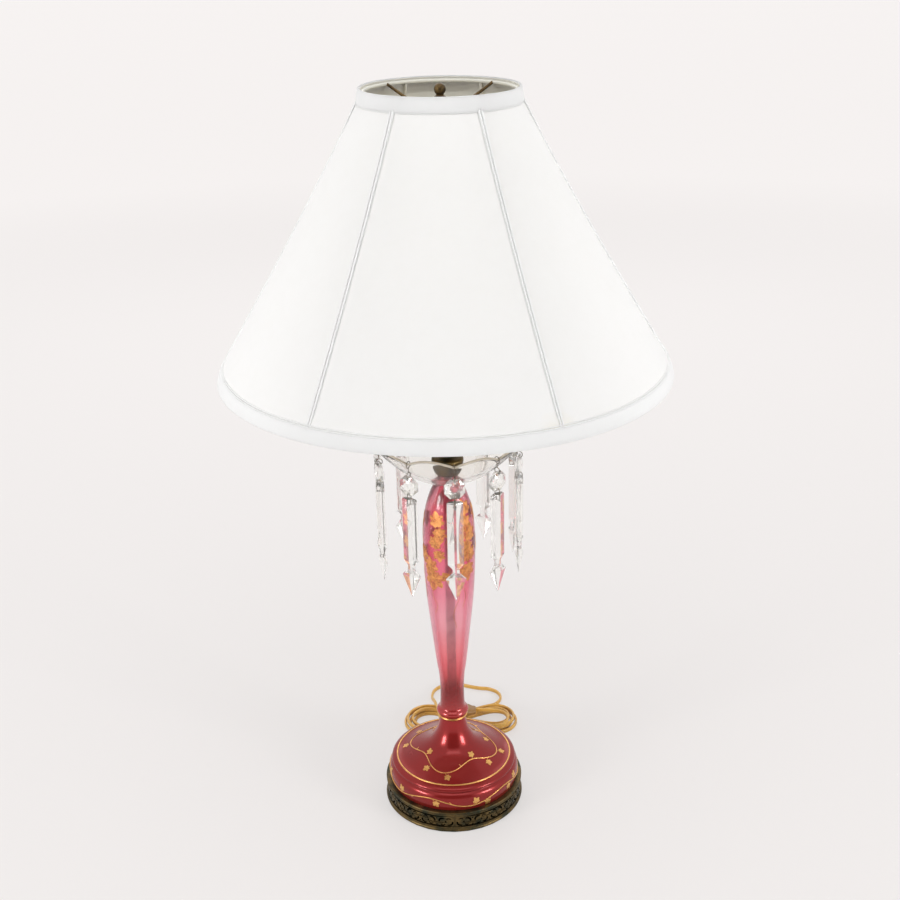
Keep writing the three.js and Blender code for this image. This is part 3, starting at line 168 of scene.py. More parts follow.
def stemGlass():
    # clear rose with the rod showing through, deepening to ruby at the knop
    glass = [(0.0, (0.34, 0.03, 0.035)), (0.03, (0.45, 0.045, 0.05)), (0.06, (0.68, 0.14, 0.13)),
             (0.24, (0.98, 0.44, 0.47)), (0.42, (1.0, 0.68, 0.73)), (0.62, (0.97, 0.46, 0.56)),
             (0.78, (0.92, 0.36, 0.46)), (0.92, (0.86, 0.33, 0.39)), (1.0, (0.8, 0.27, 0.34))]
    paint = Paint("stemGlass", Transmission_Weight=1.0, Coat_Weight=0.35, Coat_Roughness=0.04, IOR=1.3)
    body = paint.ramp(paint.spread(paint.axes()[2], collarHeight, 0.386), glass)
    edge = paint.node("LayerWeight", {}, {"Blend": 0.5}, "Facing")
    wall = paint.spread(edge, 0.32, 0.5)   # seen edge on
    deep = paint.mix(body, (0.86, 0.38, 0.48), wall, "MULTIPLY")
    cloudy = paint.noise(22, 4)
    streaks = paint.spread(cloudy, 0.5, 0.85, 0.0, 0.25)
    paint.set("Base_Color", paint.mix(deep, (0.75, 0.16, 0.24), streaks))
    paint.roughen(cloudy, 0.19, 0.25)
    knop = paint.spread(paint.axes()[2], 0.11, 0.148, 1.0, 0.0)   # dense glass, fading out above it
    paint.layer(knop, Base_Color=(0.44, 0.032, 0.032), Metallic=0.35, Roughness=0.22, Coat_Weight=0.4,
                Coat_Roughness=0.08)
    return paint


def gilt(name, colour, worn, dull, thin=1.0):
    paint = Paint(name, Metallic=0.85)
    rubbed = paint.noise(900, 5)
    broad = paint.noise(160, 3)
    share = paint.spread(rubbed * 0.5 + broad * 0.5, 0.42, 0.62)
    paint.set("Base_Color", paint.mix(colour, worn, share))
    paint.roughen(rubbed, dull, dull + 0.2)
    if thin < 1:   # rubbed through to the glass here and there
        paint.set("Alpha", paint.spread(rubbed * 0.4 + broad * 0.6, 0.4, 0.6, 1.0, thin))
    return paint


def antiqueBrass(name, raised, hollow, green):
    paint = Paint(name, Metallic=0.9)
    broad = paint.noise(70, 5)
    fine = paint.noise(600, 4)
    aged = paint.mix(raised, hollow, paint.spread(broad, 0.4, 0.62))
    paint.set("Base_Color", paint.mix(aged, green, paint.spread(fine * broad, 0.24, 0.4, 0.0, 0.7)))
    paint.roughen(fine, 0.34, 0.55)
    paint.bump(fine, 0.25, 0.0002)
    return paint


def plainMetal(name, colour, tarnish, rough):
    paint = Paint(name, Metallic=1.0)
    spots = paint.noise(140, 5)
    paint.set("Base_Color", paint.mix(colour, tarnish, paint.spread(spots, 0.45, 0.7)))
    paint.roughen(spots, rough, rough + 0.15)
    return paint


def clearGlass(name, tint, bending, clear):
    paint = Paint(name, Base_Color=tint, Transmission_Weight=clear, IOR=bending)
    film = paint.noise(60, 3)
    paint.set("Roughness", paint.spread(film, 0.4, 0.75, 0.0, 0.03))
    return paint


def bulbGlass():
    paint = Paint("bulbGlass", Transmission_Weight=0.2, IOR=1.45, Coat_Weight=0.2)
    powder = paint.noise(120, 4)
    paint.set("Base_Color", paint.mix((0.9, 0.89, 0.85), (0.82, 0.81, 0.77), powder))
    paint.roughen(powder, 0.2, 0.32)
    return paint


def shadeCloth(name, colour, shadow, through, stained=False):
    paint = Paint(name, Roughness=0.86, Subsurface_Weight=through, Subsurface_Scale=0.004)
    paint.set("Subsurface_Radius", (1, 1, 1))
    x, y, z = paint.axes()
    turn = x.join("ARCTAN2", x, y)
    waves = (turn * 2400, z * 9000)
    threads, picks = [paint.node("Math", {"operation": "SINE"}, {0: wave}) for wave in waves]
    slub = paint.noise(90, 4)
    tone = paint.mix(colour, shadow, paint.spread(slub, 0.4, 0.75, 0.0, 0.5))
    if stained:
        stainPlace = (0.098, -0.198, 0.516)
        away = paint.node("VectorMath", {"operation": "DISTANCE"}, {0: paint.place(), 1: stainPlace}, "Value")
        edge = paint.spread(away + slub * 0.02, 0.012, 0.032, 0.35, 0.0)
        tone = paint.mix(tone, (0.86, 0.78, 0.55), edge)
    paint.set("Base_Color", tone)
    paint.bump(threads * picks * 0.5 + slub, 0.12, 0.0003)
    return paint


def cordPlastic():
    paint = Paint("cordPlastic", Transmission_Weight=0.12, IOR=1.48, Coat_Weight=0.15, Coat_Roughness=0.2)
    cloudy = paint.noise(130, 4)
    paint.set("Base_Color", paint.mix((0.72, 0.37, 0.055), (0.9, 0.56, 0.15), cloudy))
    paint.roughen(cloudy, 0.3, 0.42)
    return paint


def moulded(name, colour, worn, rough):
    paint = Paint(name)
    grain = paint.noise(420, 4)
    paint.set("Base_Color", paint.mix(colour, worn, paint.spread(grain, 0.4, 0.8)))
    paint.roughen(grain, rough, rough + 0.12)
    paint.bump(grain, 0.15, 0.0002)
    return paint


paints = {
    "ruby": footGlass(),
    "rose": stemGlass(),
    "gilt": gilt("gilt", (0.8, 0.46, 0.15), (0.55, 0.27, 0.08), 0.24),
    "wornGilt": gilt("wornGilt", (0.8, 0.36, 0.13), (0.64, 0.22, 0.08), 0.36, 0.45),
    "antique": antiqueBrass("antiqueBrass", (0.12, 0.08, 0.03), (0.04, 0.034, 0.018),
                            (0.025, 0.035, 0.022)),
    "finialBrass": antiqueBrass("finialBrass", (0.17, 0.11, 0.045), (0.08, 0.05, 0.022),
                                (0.05, 0.04, 0.024)),
    "brass": plainMetal("brass", (0.62, 0.44, 0.17), (0.38, 0.25, 0.09), 0.26),
    "wire": plainMetal("hookWire", (0.14, 0.12, 0.085), (0.05, 0.045, 0.035), 0.32),
    "steel": plainMetal("zincSteel", (0.56, 0.56, 0.55), (0.42, 0.42, 0.4), 0.32),
    "cut": clearGlass("cutGlass", (0.99, 0.985, 0.965), 1.5, 0.92),
    "thin": clearGlass("dishGlass", (0.99, 0.98, 0.96), 1.06, 0.95),
    # painted light: a tan half-clear ring standing in for the line the glass rim shows when seen edge on
    "edge": clearGlass("paintedRimLine", (0.88, 0.8, 0.68), 1.3, 0.45),
    "bulb": bulbGlass(),
    "cloth": shadeCloth("shadeCloth", (0.96, 0.96, 0.94), (0.935, 0.935, 0.91), 0.7, True),
    "trim": shadeCloth("shadeTrim", (0.955, 0.96, 0.955), (0.925, 0.93, 0.925), 0.6),
    "lining": shadeCloth("shadeLining", (0.99, 0.945, 0.8), (0.97, 0.915, 0.75), 1.0),
    "cord": cordPlastic(),
    "plug": moulded("plugPlastic", (0.3, 0.15, 0.04), (0.36, 0.2, 0.07), 0.34),
    "iron": moulded("castIron", (0.05, 0.05, 0.05), (0.08, 0.075, 0.07), 0.6),
    "felt": moulded("greenFelt", (0.045, 0.07, 0.04), (0.07, 0.1, 0.06), 0.9),
    "card": moulded("linerCard", (0.5, 0.42, 0.26), (0.42, 0.34, 0.2), 0.8),
    "key": moulded("switchKey", (0.018, 0.013, 0.011), (0.03, 0.022, 0.018), 0.28),
}
print("paints mixed:", len(paints))


# shapes

def onBody(piece, body, paint, nodes=()):
    piece.data.materials.append(paints[paint].material)
    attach(piece, body)
    if nodes:
        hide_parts(*nodes)
    return piece


def linked(name, data):
    item = bpy.data.objects.new(name, data)
    bpy.context.scene.collection.objects.link(item)
    return item


def meshOf(name, shape):
    mesh = bpy.data.meshes.new(name)
    shape.to_mesh(mesh)
    shape.free()
    return mesh


def takeIn(shape, part):
    # adds one shape to another
    mesh = meshOf("part", part)
    shape.from_mesh(mesh)
    bpy.data.meshes.remove(mesh)


def applied(item):
    # the mesh that a curve or a modifier gives
    graph = bpy.context.evaluated_depsgraph_get()
    mesh = bpy.data.meshes.new_from_object(item.evaluated_get(graph))
    bpy.data.objects.remove(item)
    return mesh


def fromBmesh(name, shape, body, paint, nodes=(), crease=35):
    mesh = meshOf(name, shape)
    mesh.shade_smooth()
    mesh.set_sharp_from_angle(angle=radians(crease))
    return onBody(linked(name, mesh), body, paint, nodes)


def newCurve(name, dimensions="3D"):
    curve = bpy.data.curves.new(name, "CURVE")
    curve.dimensions = dimensions
    curve.use_fill_caps = dimensions == "3D"
    return curve


def drawLine(curve, places, loop=False):
    spline = curve.splines.new("POLY")
    spline.points.add(len(places) - 1)
    spline.use_cyclic_u = loop
    for point, place in zip(spline.points, places):
        point.co = (*place, 1)


def standing(place):
    # to a place in millimetres, with Z turned towards the front
    return Matrix.Translation(Vector(place) * mm) @ Matrix.Rotation(radians(90), 4, "X")


def rod(shape, place, radii, length, segments=24):
    # a round bar from front to back
    made = bmesh.ops.create_cone(shape, cap_ends=True, segments=segments, radius1=radii[0] * mm,
                                 radius2=radii[1] * mm, depth=length * mm, matrix=standing(place))
    return made["verts"]


def block(shape, size, middle, offset, segments):
    # a box with its edges rounded
    verts = bmesh.ops.create_cube(shape, size=1)["verts"]
    bmesh.ops.scale(shape, vec=Vector(size) * mm, verts=verts)
    bmesh.ops.translate(shape, vec=Vector(middle) * mm, verts=verts)
    edges = list({edge for vert in verts for edge in vert.link_edges})
    bmesh.ops.bevel(shape, geom=edges, offset=offset * mm, segments=segments, affect="EDGES", profile=0.5,
                    material=-1)


def clean(shape):
    bmesh.ops.remove_doubles(shape, verts=shape.verts, dist=1e-6)
    bmesh.ops.recalc_face_normals(shape, faces=shape.faces)


def spun(outline, steps, closes=False):
    shape = bmesh.new()
    corners = [shape.verts.new((radius * mm, 0, height * mm)) for radius, height in outline]
    pairs = list(zip(corners, corners[1:]))
    if closes:
        pairs.append((corners[-1], corners[0]))
    geom = corners + [shape.edges.new(pair) for pair in pairs]
    bmesh.ops.spin(shape, geom=geom, axis=(0, 0, 1), angle=2 * pi, steps=steps, use_merge=True)
    clean(shape)
    return shape


def flowing(points, each=6):
    # a smooth line through the points
    padded = [2 * Vector(points[0]) - Vector(points[1]), *map(Vector, points),
              2 * Vector(points[-1]) - Vector(points[-2])]
    line = []
    for before, start, end, after in zip(padded, padded[1:], padded[2:], padded[3:]):
        for i in range(each):
            t = i / each
            bend = 2 * before - 5 * start + 4 * end - after
            twist = 3 * start - before - 3 * end + after
            line.append(0.5 * (2 * start + (end - before) * t + bend * t ** 2 + twist * t ** 3))
    return line + [Vector(points[-1])]


def wire(name, lines, radius, body, paint, slot, nodes=(), loop=False, sides=3):
    curve = newCurve(name)
    curve.bevel_depth = radius * mm
    curve.bevel_resolution = sides
    for line in lines:
        drawLine(curve, [Vector(place) * mm for place in line], loop)
    return onBody(linked(name, curve), body, paint, nodes)


def around(radius, azimuth, height):
    # azimuth in degrees from the front towards the right
    return Vector((radius * sin(radians(azimuth)), -radius * cos(radians(azimuth)), height))


def ringLine(radius, height, steps=96):
    return [around(radius, 360 * i / steps, height) for i in range(steps)]


# camera, as the photograph was fitted

camera = {"place": (0.0028, -1.2270, 0.9371), "down": 22.861, "roll": 1.140, "lens": 52.34, "sensor": 36}


def setCamera():
    data = bpy.data.cameras.new("camera")
    data.lens = camera["lens"]
    data.sensor_width = camera["sensor"]
    eye = linked("camera", data)
    tilt = Matrix.Rotation(radians(90 - camera["down"]), 4, "X")
    lean = Matrix.Rotation(radians(-camera["roll"]), 4, "Z")
    eye.matrix_world = Matrix.Translation(camera["place"]) @ tilt @ lean
    bpy.context.scene.camera = eye


# cord, along the route of the CAD model

cord = {"width": 5, "thick": 2.9, "exitTurn": 187.5, "exitHeight": 14.5, "tip": 96.2, "gap": 0.3,
        "rest": 2.6, "pitch": 6.05, "layer": 5.45, "turns": 4.5, "steps": 24, "centre": (11, 130),
        "endRadius": 30, "halfRun": 41, "waist": 12, "plugBack": 17, "plugSide": 2, "plugThick": 11}


def smoothStep(value, low, high):
    t = min(max((value - low) / (high - low), 0), 1)
    return t * t * (3 - 2 * t)


def hankPoint(turn):
    reverse = (cord["turns"] + 0.5) / 2
    radius = cord["endRadius"] - cord["pitch"] * (reverse - abs(turn - reverse))
    run = cord["halfRun"]
    step = (turn % 1) * cord["steps"]
    if step < 3:
        x, y = -run * step / 3, radius
    elif step < 9:
        angle = pi * (step - 3) / 6
        x, y = -run - radius * sin(angle), radius * cos(angle)
    elif step < 15:
        x, y = -run + run * (step - 9) / 3, -radius
    elif step < 21:
        angle = pi * (step - 15) / 6
        x, y = run + radius * sin(angle), -radius * cos(angle)
    else:
        x, y = run - run * (step - 21) / 3, radius
    if abs(x) < run:
        y -= math.copysign(cord["waist"] * (1 + cos(pi * x / run)) / 2, y)
    climb = smoothStep(turn, reverse - 0.14, reverse + 0.14)
    return Vector((cord["centre"][0] + x, cord["centre"][1] + y, cord["rest"] + cord["layer"] * climb))


def plugPlace():
    height = cord["rest"] + cord["layer"] + cord["width"] / 2 + cord["gap"] + cord["plugThick"] / 2 + 0.2
    return Vector((cord["centre"][0] + cord["plugBack"], cord["centre"][1] + cord["plugSide"], height))


def hankRoute():
    fine = 2 * cord["steps"]
    line = [hankPoint(i / fine) for i in range(int(cord["turns"] * fine) + 1)]
    last = line[-1]
    turnX = cord["centre"][0] + cord["halfRun"]
    low = cord["centre"][1] - cord["endRadius"] + cord["pitch"] * 0.4
    plug = plugPlace()
    turnRadius = (plug.y - low) / 2
    top = cord["rest"] + 2 * cord["layer"]
    for i in range(1, 7):
        share = i / 6
        line.append(Vector((last.x + (turnX - last.x) * share,
                            low + (last.y - low) * (1 + cos(pi * share)) / 2,
                            last.z + (top - last.z) * smoothStep(share, 0.1, 0.95))))
    for i in range(1, 13):
        angle = pi * i / 12
        line.append(Vector((turnX + turnRadius * sin(angle), low + turnRadius * (1 - cos(angle)),
                            top + (plug.z - top) * i / 24)))
    width = cord["width"]
    line.append(Vector(((turnX + plug.x + width) / 2, plug.y, plug.z - 0.3)))
    line.append(plug + Vector((width, 0, 0)))
    line.append(plug + Vector((cord["gap"], 0, 0)))
    return line


def leadRoute():
    away = around(1, cord["exitTurn"], 0)
    tip = away * (cord["tip"] + cord["gap"]) + Vector((0, 0, cord["exitHeight"]))
    rest = cord["rest"]
    free = [tip, tip + away * cord["width"], (-15, 114, 14.2), (-17, 128, 14), (-19.2, 141, 13.9),
            (-21.5, 153, 13.7), (-23.6, 164, 10.3), (-25.3, 175, 5.2), (-26, 186, rest + 0.3)]
    free += [(x, y, rest) for x, y in ((-23, 198), (-14, 207), (-2, 211), (11, 209.5), (24, 204.5),
                                       (35, 201), (46, 199), (56, 192), (60.5, 181.5), (58.5, 171),
                                       (51.5, 163.2), (42.5, 160))]
    tail = [hankPoint(step / cord["steps"]) for step in (-2, -1, -0.5)]
    start = hankPoint(0)
    square = [start + Vector((cord["gap"] + back, 0, 0)) for back in (cord["width"] / 2, 0)]
    return [Vector(point) for point in free + tail + square]


def flatCord(name, line, nodes):
    # two cores side by side, standing on edge as flat cord does in a bend
    section = newCurve(name + "Section", "2D")
    core = cord["thick"] / 2
    offset = cord["width"] / 2 - core
    lobe = [(offset + core * cos(a), core * sin(a)) for a in [radians(-120 + 30 * i) for i in range(9)]]
    outline = lobe + [(-x, -y) for x, y in lobe]
    drawLine(section, [(y * mm, x * mm, 0) for x, y in outline], True)
    profile = linked(name + "Section", section)
    curve = newCurve(name)
    curve.twist_mode = "Z_UP"
    curve.bevel_mode = "OBJECT"
    curve.bevel_object = profile
    drawLine(curve, [place * mm for place in line])
    shape = bmesh.new()
    shape.from_mesh(applied(linked(name + "Drawn", curve)))
    bpy.data.objects.remove(profile)
    clean(shape)
    return fromBmesh(name, shape, "lamp", "cord", nodes, 50)


relief = {"inside": -4.7, "neck": 3.5, "wide": 5.2, "tip": 3.3, "reach": 20, "wall": 76.2, "ribs": 4}


def makeRelief():
    inside = relief["wall"] + relief["inside"]
    outside = relief["wall"] + cord["gap"]
    wide, neck, tip = relief["wide"], relief["neck"], relief["tip"]
    outline = [(0, inside), (wide, inside), (wide, inside + 2), (neck, inside + 2.2), (neck, outside),
               (wide, outside), (wide, outside + 2.4)]
    reach = relief["wall"] + relief["reach"]
    for i in range(relief["ribs"]):
        share = (i + 0.5) / relief["ribs"]
        place = outside + 3.5 + (reach - outside - 4.5) * share
        radius = wide - 0.6 + (tip - wide + 0.6) * share
        groove = radius - 0.7
        outline += [(groove, place - 1.4), (radius, place - 0.8), (radius, place + 0.8),
                    (groove, place + 1.2)]
    outline += [(tip - 0.2, reach), (0, reach)]
    shape = spun(outline, 32)
    outwards = Matrix.Rotation(radians(cord["exitTurn"]), 4, "Z") @ standing((0, 0, cord["exitHeight"]))
    bmesh.ops.transform(shape, matrix=outwards, verts=shape.verts)
    return fromBmesh("cordRelief", shape, "lamp", "cord", ["cord_relief"])


plugShape = {"length": 22, "width": 20, "blade": 16, "bladeThick": 1.5, "bladeTall": 6.3, "apart": 12.7,
             "stations": [(0.08, 0.34, 0.58), (0.2, 0.37, 0.62), (0.42, 0.48, 0.96), (0.5, 0.5, 1),
                          (0.9, 0.5, 1), (1, 0.45, 0.9)]}


def makePlug():
    # drawn along X, from the cord's end
    back = plugPlace()
    shape = bmesh.new()
    length = plugShape["length"]
    ring = bmesh.ops.create_circle(shape, segments=20, radius=0.5, cap_ends=True)["verts"]
    for vert in ring:   # a rounded oblong standing in Y and Z
        x, y, _ = vert.co
        square = (abs(2 * x) ** 3 + abs(2 * y) ** 3) ** (-1 / 3)
        vert.co = Vector((0, 2 * x * square, y * square * 0.999))
    face = shape.faces[:][0]
    along, wide, tall = 0, 0.3, 0.52
    size = (1, wide * plugShape["width"] * mm, tall * cord["plugThick"] * mm)
    bmesh.ops.scale(shape, vec=size, verts=ring)
    bmesh.ops.translate(shape, vec=back * mm, verts=ring)
    for place, nextWide, nextTall in plugShape["stations"]:
        made = bmesh.ops.extrude_face_region(shape, geom=[face])["geom"]
        verts = [g for g in made if isinstance(g, bmesh.types.BMVert)]
        face = [g for g in made if isinstance(g, bmesh.types.BMFace)][0]
        bmesh.ops.translate(shape, vec=((along - place) * length * mm, 0, 0), verts=verts)
        centre = Matrix.Translation(-back * mm)
        bmesh.ops.scale(shape, vec=(1, nextWide / wide, nextTall / tall), space=centre, verts=verts)
        along, wide, tall = place, nextWide, nextTall
    inside = [f for f in shape.faces if abs(f.normal.x) > 0.99 and f is not face
              and f.calc_center_median().x < back.x * mm - 1e-5]
    bmesh.ops.delete(shape, geom=inside, context="FACES_ONLY")
    blade = (plugShape["blade"] + 2, plugShape["bladeThick"], plugShape["bladeTall"])
    for side in (-1, 1):
        middle = back - Vector((length + plugShape["blade"] / 2 - 1, -side * plugShape["apart"] / 2, 0))
        block(shape, blade, middle, 0.35, 2)
    bmesh.ops.recalc_face_normals(shape, faces=shape.faces)
    piece = fromBmesh("plug", shape, "lamp", "plug", ["cord_plug"], 40)
    piece.data.materials.append(paints["brass"].material)
    limit = (back.x - length) * mm - 1e-4   # the blades lie past it
    for face in piece.data.polygons:
        if face.center.x < limit:
            face.material_index = 1
    return piece


def makeCord():
    total = 0
    reliefPiece, plug = makeRelief(), makePlug()
    for name, route, node, end, lay, fitting in (
            ("cordLead", flowing(leadRoute(), 4), "cord_lead", "object", "loose", reliefPiece),
            ("cordHank", hankRoute(), "cord_hank", "plug", "coiled", plug)):
        length = sum((b - a).length for a, b in zip(route, route[1:])) * mm
        piece = flatCord(name, route, [node])
        route[0] * mm
        [p * mm for p in route]
        total += length
    print("cord laid:", round(total, 3), "m")


# glass foot and stem, and their gilding

foot = {"outline": [(71, 25.6), (71.8, 29.5), (72.1, 34.6), (71.6, 39.5), (70.2, 43), (68.2, 45),
                    (67.75, 45.7), (68.5, 46.5), (69.05, 47.6), (68.9, 49.2), (67.3, 50.8), (65, 51.9),
                    (63, 52.5), (56, 54.6), (47.4, 58.4), (39, 62.1), (31.8, 66.2), (25.5, 71.4),
                    (21.1, 77.6), (17.8, 84), (15.8, 90.6), (14.7, 96.5), (14.3, 101.8), (15.2, 102.6),
                    (15.7, 103), (15.7, 105), (15.2, 105.6)],
        "inner": [(11, 105.6), (11, 85), (15.5, 74), (26, 62), (42, 54), (59, 48), (63.8, 44), (67.8, 36),
                  (67, 25.6)]}
stem = {"outline": [(15.2, 105.9), (16.6, 107), (17.5, 109.2), (16.6, 111.5), (14.8, 113.2), (13.7, 116),
                    (13.15, 125), (13.1, 142.3), (14.3, 158), (16.55, 173.4), (20.7, 212), (24.2, 243),
                    (26.2, 270.8), (27.2, 297), (27.4, 320), (27.0, 333), (25.75, 345.4), (23.6, 358.8),
                    (19.3, 372.8), (15.2, 381.5), (11.4, 386.9)],
        "inner": [(9, 386.9), (9, 381), (19.5, 353), (23.4, 309), (14.9, 202), (9.1, 142), (10.2, 105.9)]}


def glassBody(name, sizes, steps, paint, node):
    outline = [(p.x, p.y) for p in flowing(sizes["outline"], 3)]
    shape = spun(outline + sizes["inner"], steps, True)
    fromBmesh(name, shape, "lamp", paint, [node], 50)


class Side:
    # a turned outline, measured along its length, that flat drawings are laid on
    def __init__(self, outline):
        self.line = flowing(outline, 6)
        self.along = [0]
        for a, b in zip(self.line, self.line[1:]):
            self.along.append(self.along[-1] + (b - a).length)

    def at(self, length):
        length = min(max(length, 0), self.along[-1] - 1e-6)
        i = max(k for k, v in enumerate(self.along) if v <= length)
        a, b = self.line[i], self.line[i + 1]
        share = (length - self.along[i]) / (self.along[i + 1] - self.along[i])
        slope = (b - a).normalized()
        return a + (b - a) * share, slope

    def atHeight(self, height):
        i = min(range(len(self.line)), key=lambda k: abs(self.line[k].y - height))
        return self.along[i]

    def atRadius(self, radius, above):
        spots = [k for k, p in enumerate(self.line) if p.y > above]
        return self.along[min(spots, key=lambda k: abs(self.line[k].x - radius))]

    def lay(self, turn, length, proud):
        spot, slope = self.at(length)
        out = Vector((slope.y, -slope.x))
        place = spot + out * proud
        return around(place.x, turn, place.y)


def leafReach(angle, lobes):
    # how far a lobed leaf reaches at an angle from its tip
    blade = 1 - lobes[0][1]
    reach = max(blade + tall * math.exp(-((angle - place) / wide) ** 2) for place, tall, wide in lobes)
    return reach * (1 + 0.03 * cos(radians(angle * 15)))


def leafShape(size, thick, lobes):
    # a thin leaf lying flat, its tip towards +Y
    shape = bmesh.new()
    line = [shape.verts.new((0, size * i / 5, 0)) for i in range(6)]
    edges = [shape.edges.new(pair) for pair in zip(line, line[1:])]
    bmesh.ops.spin(shape, geom=line + edges, axis=(0, 0, 1), angle=2 * pi, steps=44, use_merge=True)
    bmesh.ops.remove_doubles(shape, verts=shape.verts, dist=size * 1e-3)
    for vert in shape.verts:
        vert.co *= leafReach(math.degrees(math.atan2(vert.co.x, vert.co.y)), lobes)
    bmesh.ops.recalc_face_normals(shape, faces=shape.faces)
    bmesh.ops.solidify(shape, geom=shape.faces[:], thickness=thick)
    bmesh.ops.recalc_face_normals(shape, faces=shape.faces)
    return shape


def laid(side, turn, length, x, y, proud):
    # a flat point of a drawing, wrapped on the turned side
    spot, _ = side.at(length + y)
    return side.lay(turn + math.degrees(x / spot.x), length + y, proud)


def layLeaf(gathered, side, turn, length, size, twist, lobes, thick=0.25, proud=0.05):
    leaf = leafShape(size, thick, lobes)
    bmesh.ops.rotate(leaf, matrix=Matrix.Rotation(radians(twist), 3, "Z"), verts=leaf.verts)
    low = min(vert.co.z for vert in leaf.verts)
    for vert in leaf.verts:
        vert.co = laid(side, turn, length, vert.co.x, vert.co.y, proud + vert.co.z - low) * mm
    takeIn(gathered, leaf)


def leafVeins(side, turn, length, size, twist, lobes, proud):
    lines = []
    for place, tall, _ in lobes:
        angle = radians(place - twist)
        reach = 0.86 * size * (1 - lobes[0][1] + tall)
        x, y = reach * sin(angle), reach * cos(angle)
        lines.append([laid(side, turn, length, x * k / 5, y * k / 5, proud) for k in range(6)])
    return lines


# lobes as angle from the tip, height and width
ivy = ((0, 0.56, 30), (66, 0.42, 26), (-66, 0.42, 26), (128, 0.22, 24), (-128, 0.22, 24))
grape = ((0, 0.5, 27), (55, 0.38, 21), (-55, 0.38, 21), (108, 0.32, 22), (-108, 0.32, 22),
         (150, 0.16, 16), (-150, 0.16, 16))
bandVine = {"name": "bandVine", "height": 34.2, "swing": 4.3, "waves": 5, "phase": -22, "leaf": 5.3,
            "stalk": 4.4, "line": 0.62}
domeVine = {"name": "domeVine", "radius": 42.5, "swing": -6.6, "waves": 4, "phase": -14, "leaf": 4.8,
            "stalk": 4.3, "line": 0.55}
gilding = {"stalk": 0.26, "proud": 0.1, "ringRadius": 63, "ring": 0.85,
           "collar": [(14.3, 102.4), (16.1, 102.8), (16.5, 103.8), (16.1, 104.8), (15.0, 105.4),
                      (14.6, 104)]}


def giltWire(name, lines, radius, paint="gilt", **more):
    wire(name, lines, radius, "lamp", paint, "ruby_glass", **more)


def makeVine(side, vine, base, stalks, leaves):
    def place(turn):
        return base + vine["swing"] * cos(radians(vine["waves"] * (turn - vine["phase"])))

    proud = gilding["proud"]
    line = [side.lay(1.5 * i, place(1.5 * i), proud) for i in range(240)]
    giltWire(vine["name"], [line], vine["line"], loop=True)
    count = 2 * vine["waves"]
    for i in range(count):
        for step, reach, lean in ((0.06, 1, 3.5), (0.56, -1, -3.5)):
            turn = vine["phase"] + 360 * (i + step) / count
            up = reach if i % 2 else -reach
            length = place(turn)
            stalks.append([side.lay(turn + lean * k / 3, length + up * vine["stalk"] * k / 3, proud)
                           for k in range(3)])
            if reach > 0 or i % 3:   # a few stalks stay bare
                layLeaf(leaves, side, turn + lean, length + up * (vine["stalk"] + 0.4), vine["leaf"],
                        (0 if up > 0 else 180) + lean * 9, ivy)


def makeFootVines():
    side = Side(foot["outline"])
    stalks = []
    leaves = bmesh.new()
    makeVine(side, bandVine, side.atHeight(bandVine["height"]), stalks, leaves)
    makeVine(side, domeVine, side.atRadius(domeVine["radius"], 53), stalks, leaves)
    giltWire("vineStalks", stalks, gilding["stalk"])
    fromBmesh("vineLeaves", leaves, "lamp", "gilt")
    spot, _ = side.at(side.atRadius(gilding["ringRadius"], 50))
    giltWire("giltLine", [ringLine(spot.x, spot.y, 144)], gilding["ring"], loop=True)
    fromBmesh("giltCollar", spun(gilding["collar"], 72, True), "lamp", "gilt")


# turn, height, size and twist of each painted leaf of the stem
stemLeaves = [(-46, 299, 12, 8), (-38, 285, 15.5, 172), (-30, 350, 11, 12), (-22, 338, 10, 200),
              (-33, 325, 10, -14), (-23, 312, 8.5, 188), (44, 361, 11, 14), (37, 347, 11.5, 190),
              (50, 334, 12.5, -10), (39, 321, 12, 170), (49, 308, 12.5, 8), (42, 293, 13.5, 186),
              (-8, 290, 7, 150), (92, 352, 12, 30), (104, 318, 15, 170), (146, 342, 12, -20),
              (165, 305, 14, 190), (205, 355, 12, 15), (222, 320, 14, 165), (262, 344, 12, -30),
              (284, 310, 13, 205)]
# turn, height, sway and drop of each hanging tendril
tendrils = [(-38, 272, -8, 30), (14, 276, 9, 52), (34, 288, -8, 40), (104, 300, 9, 44), (165, 288, -8, 42),
            (222, 300, 8, 46), (284, 294, -7, 40)]


def makeStemPainting():
    side = Side(stem["outline"])
    leaves = bmesh.new()
    veins = []
    for turn, height, size, twist in stemLeaves:
        length = side.atHeight(height)
        layLeaf(leaves, side, turn, length, size, twist, grape, 0.16, 0.04)
        veins += leafVeins(side, turn, length, size, twist, grape, 0.2)
    fromBmesh("stemLeaves", leaves, "lamp", "wornGilt")
    giltWire("leafVeins", veins, 0.2, sides=1)
    lines = []
    proud = 0.06
    for turn, height, sway, drop in tendrils:
        top = side.atHeight(height)
        lines.append([side.lay(turn + sway * sin(t * 2.2 * pi) * (1 - 0.5 * t), top - drop * t, proud)
                      for t in [k / 24 for k in range(25)]])
    for (turn, height, _, _), (nextTurn, nextHeight, _, _) in zip(stemLeaves, stemLeaves[1:]):
        a, b = side.atHeight(height), side.atHeight(nextHeight)
        lines.append([side.lay(turn + (nextTurn - turn) * t, a + (b - a) * t + 5 * sin(pi * t), proud)
                      for t in [k / 16 for k in range(17)]])
    giltWire("stemTendrils", lines, 0.24, "wornGilt")


# pierced brass gallery

gallery = {"radius": 76.2, "low": 1.8, "high": 25.3, "wall": 1.6, "band": (6.2, 20.6), "repeats": 24,
           "ledge": 62, "foot": 69.8, "bandRadius": 75.5, "exitHole": 3.9, "solid": 2.2}


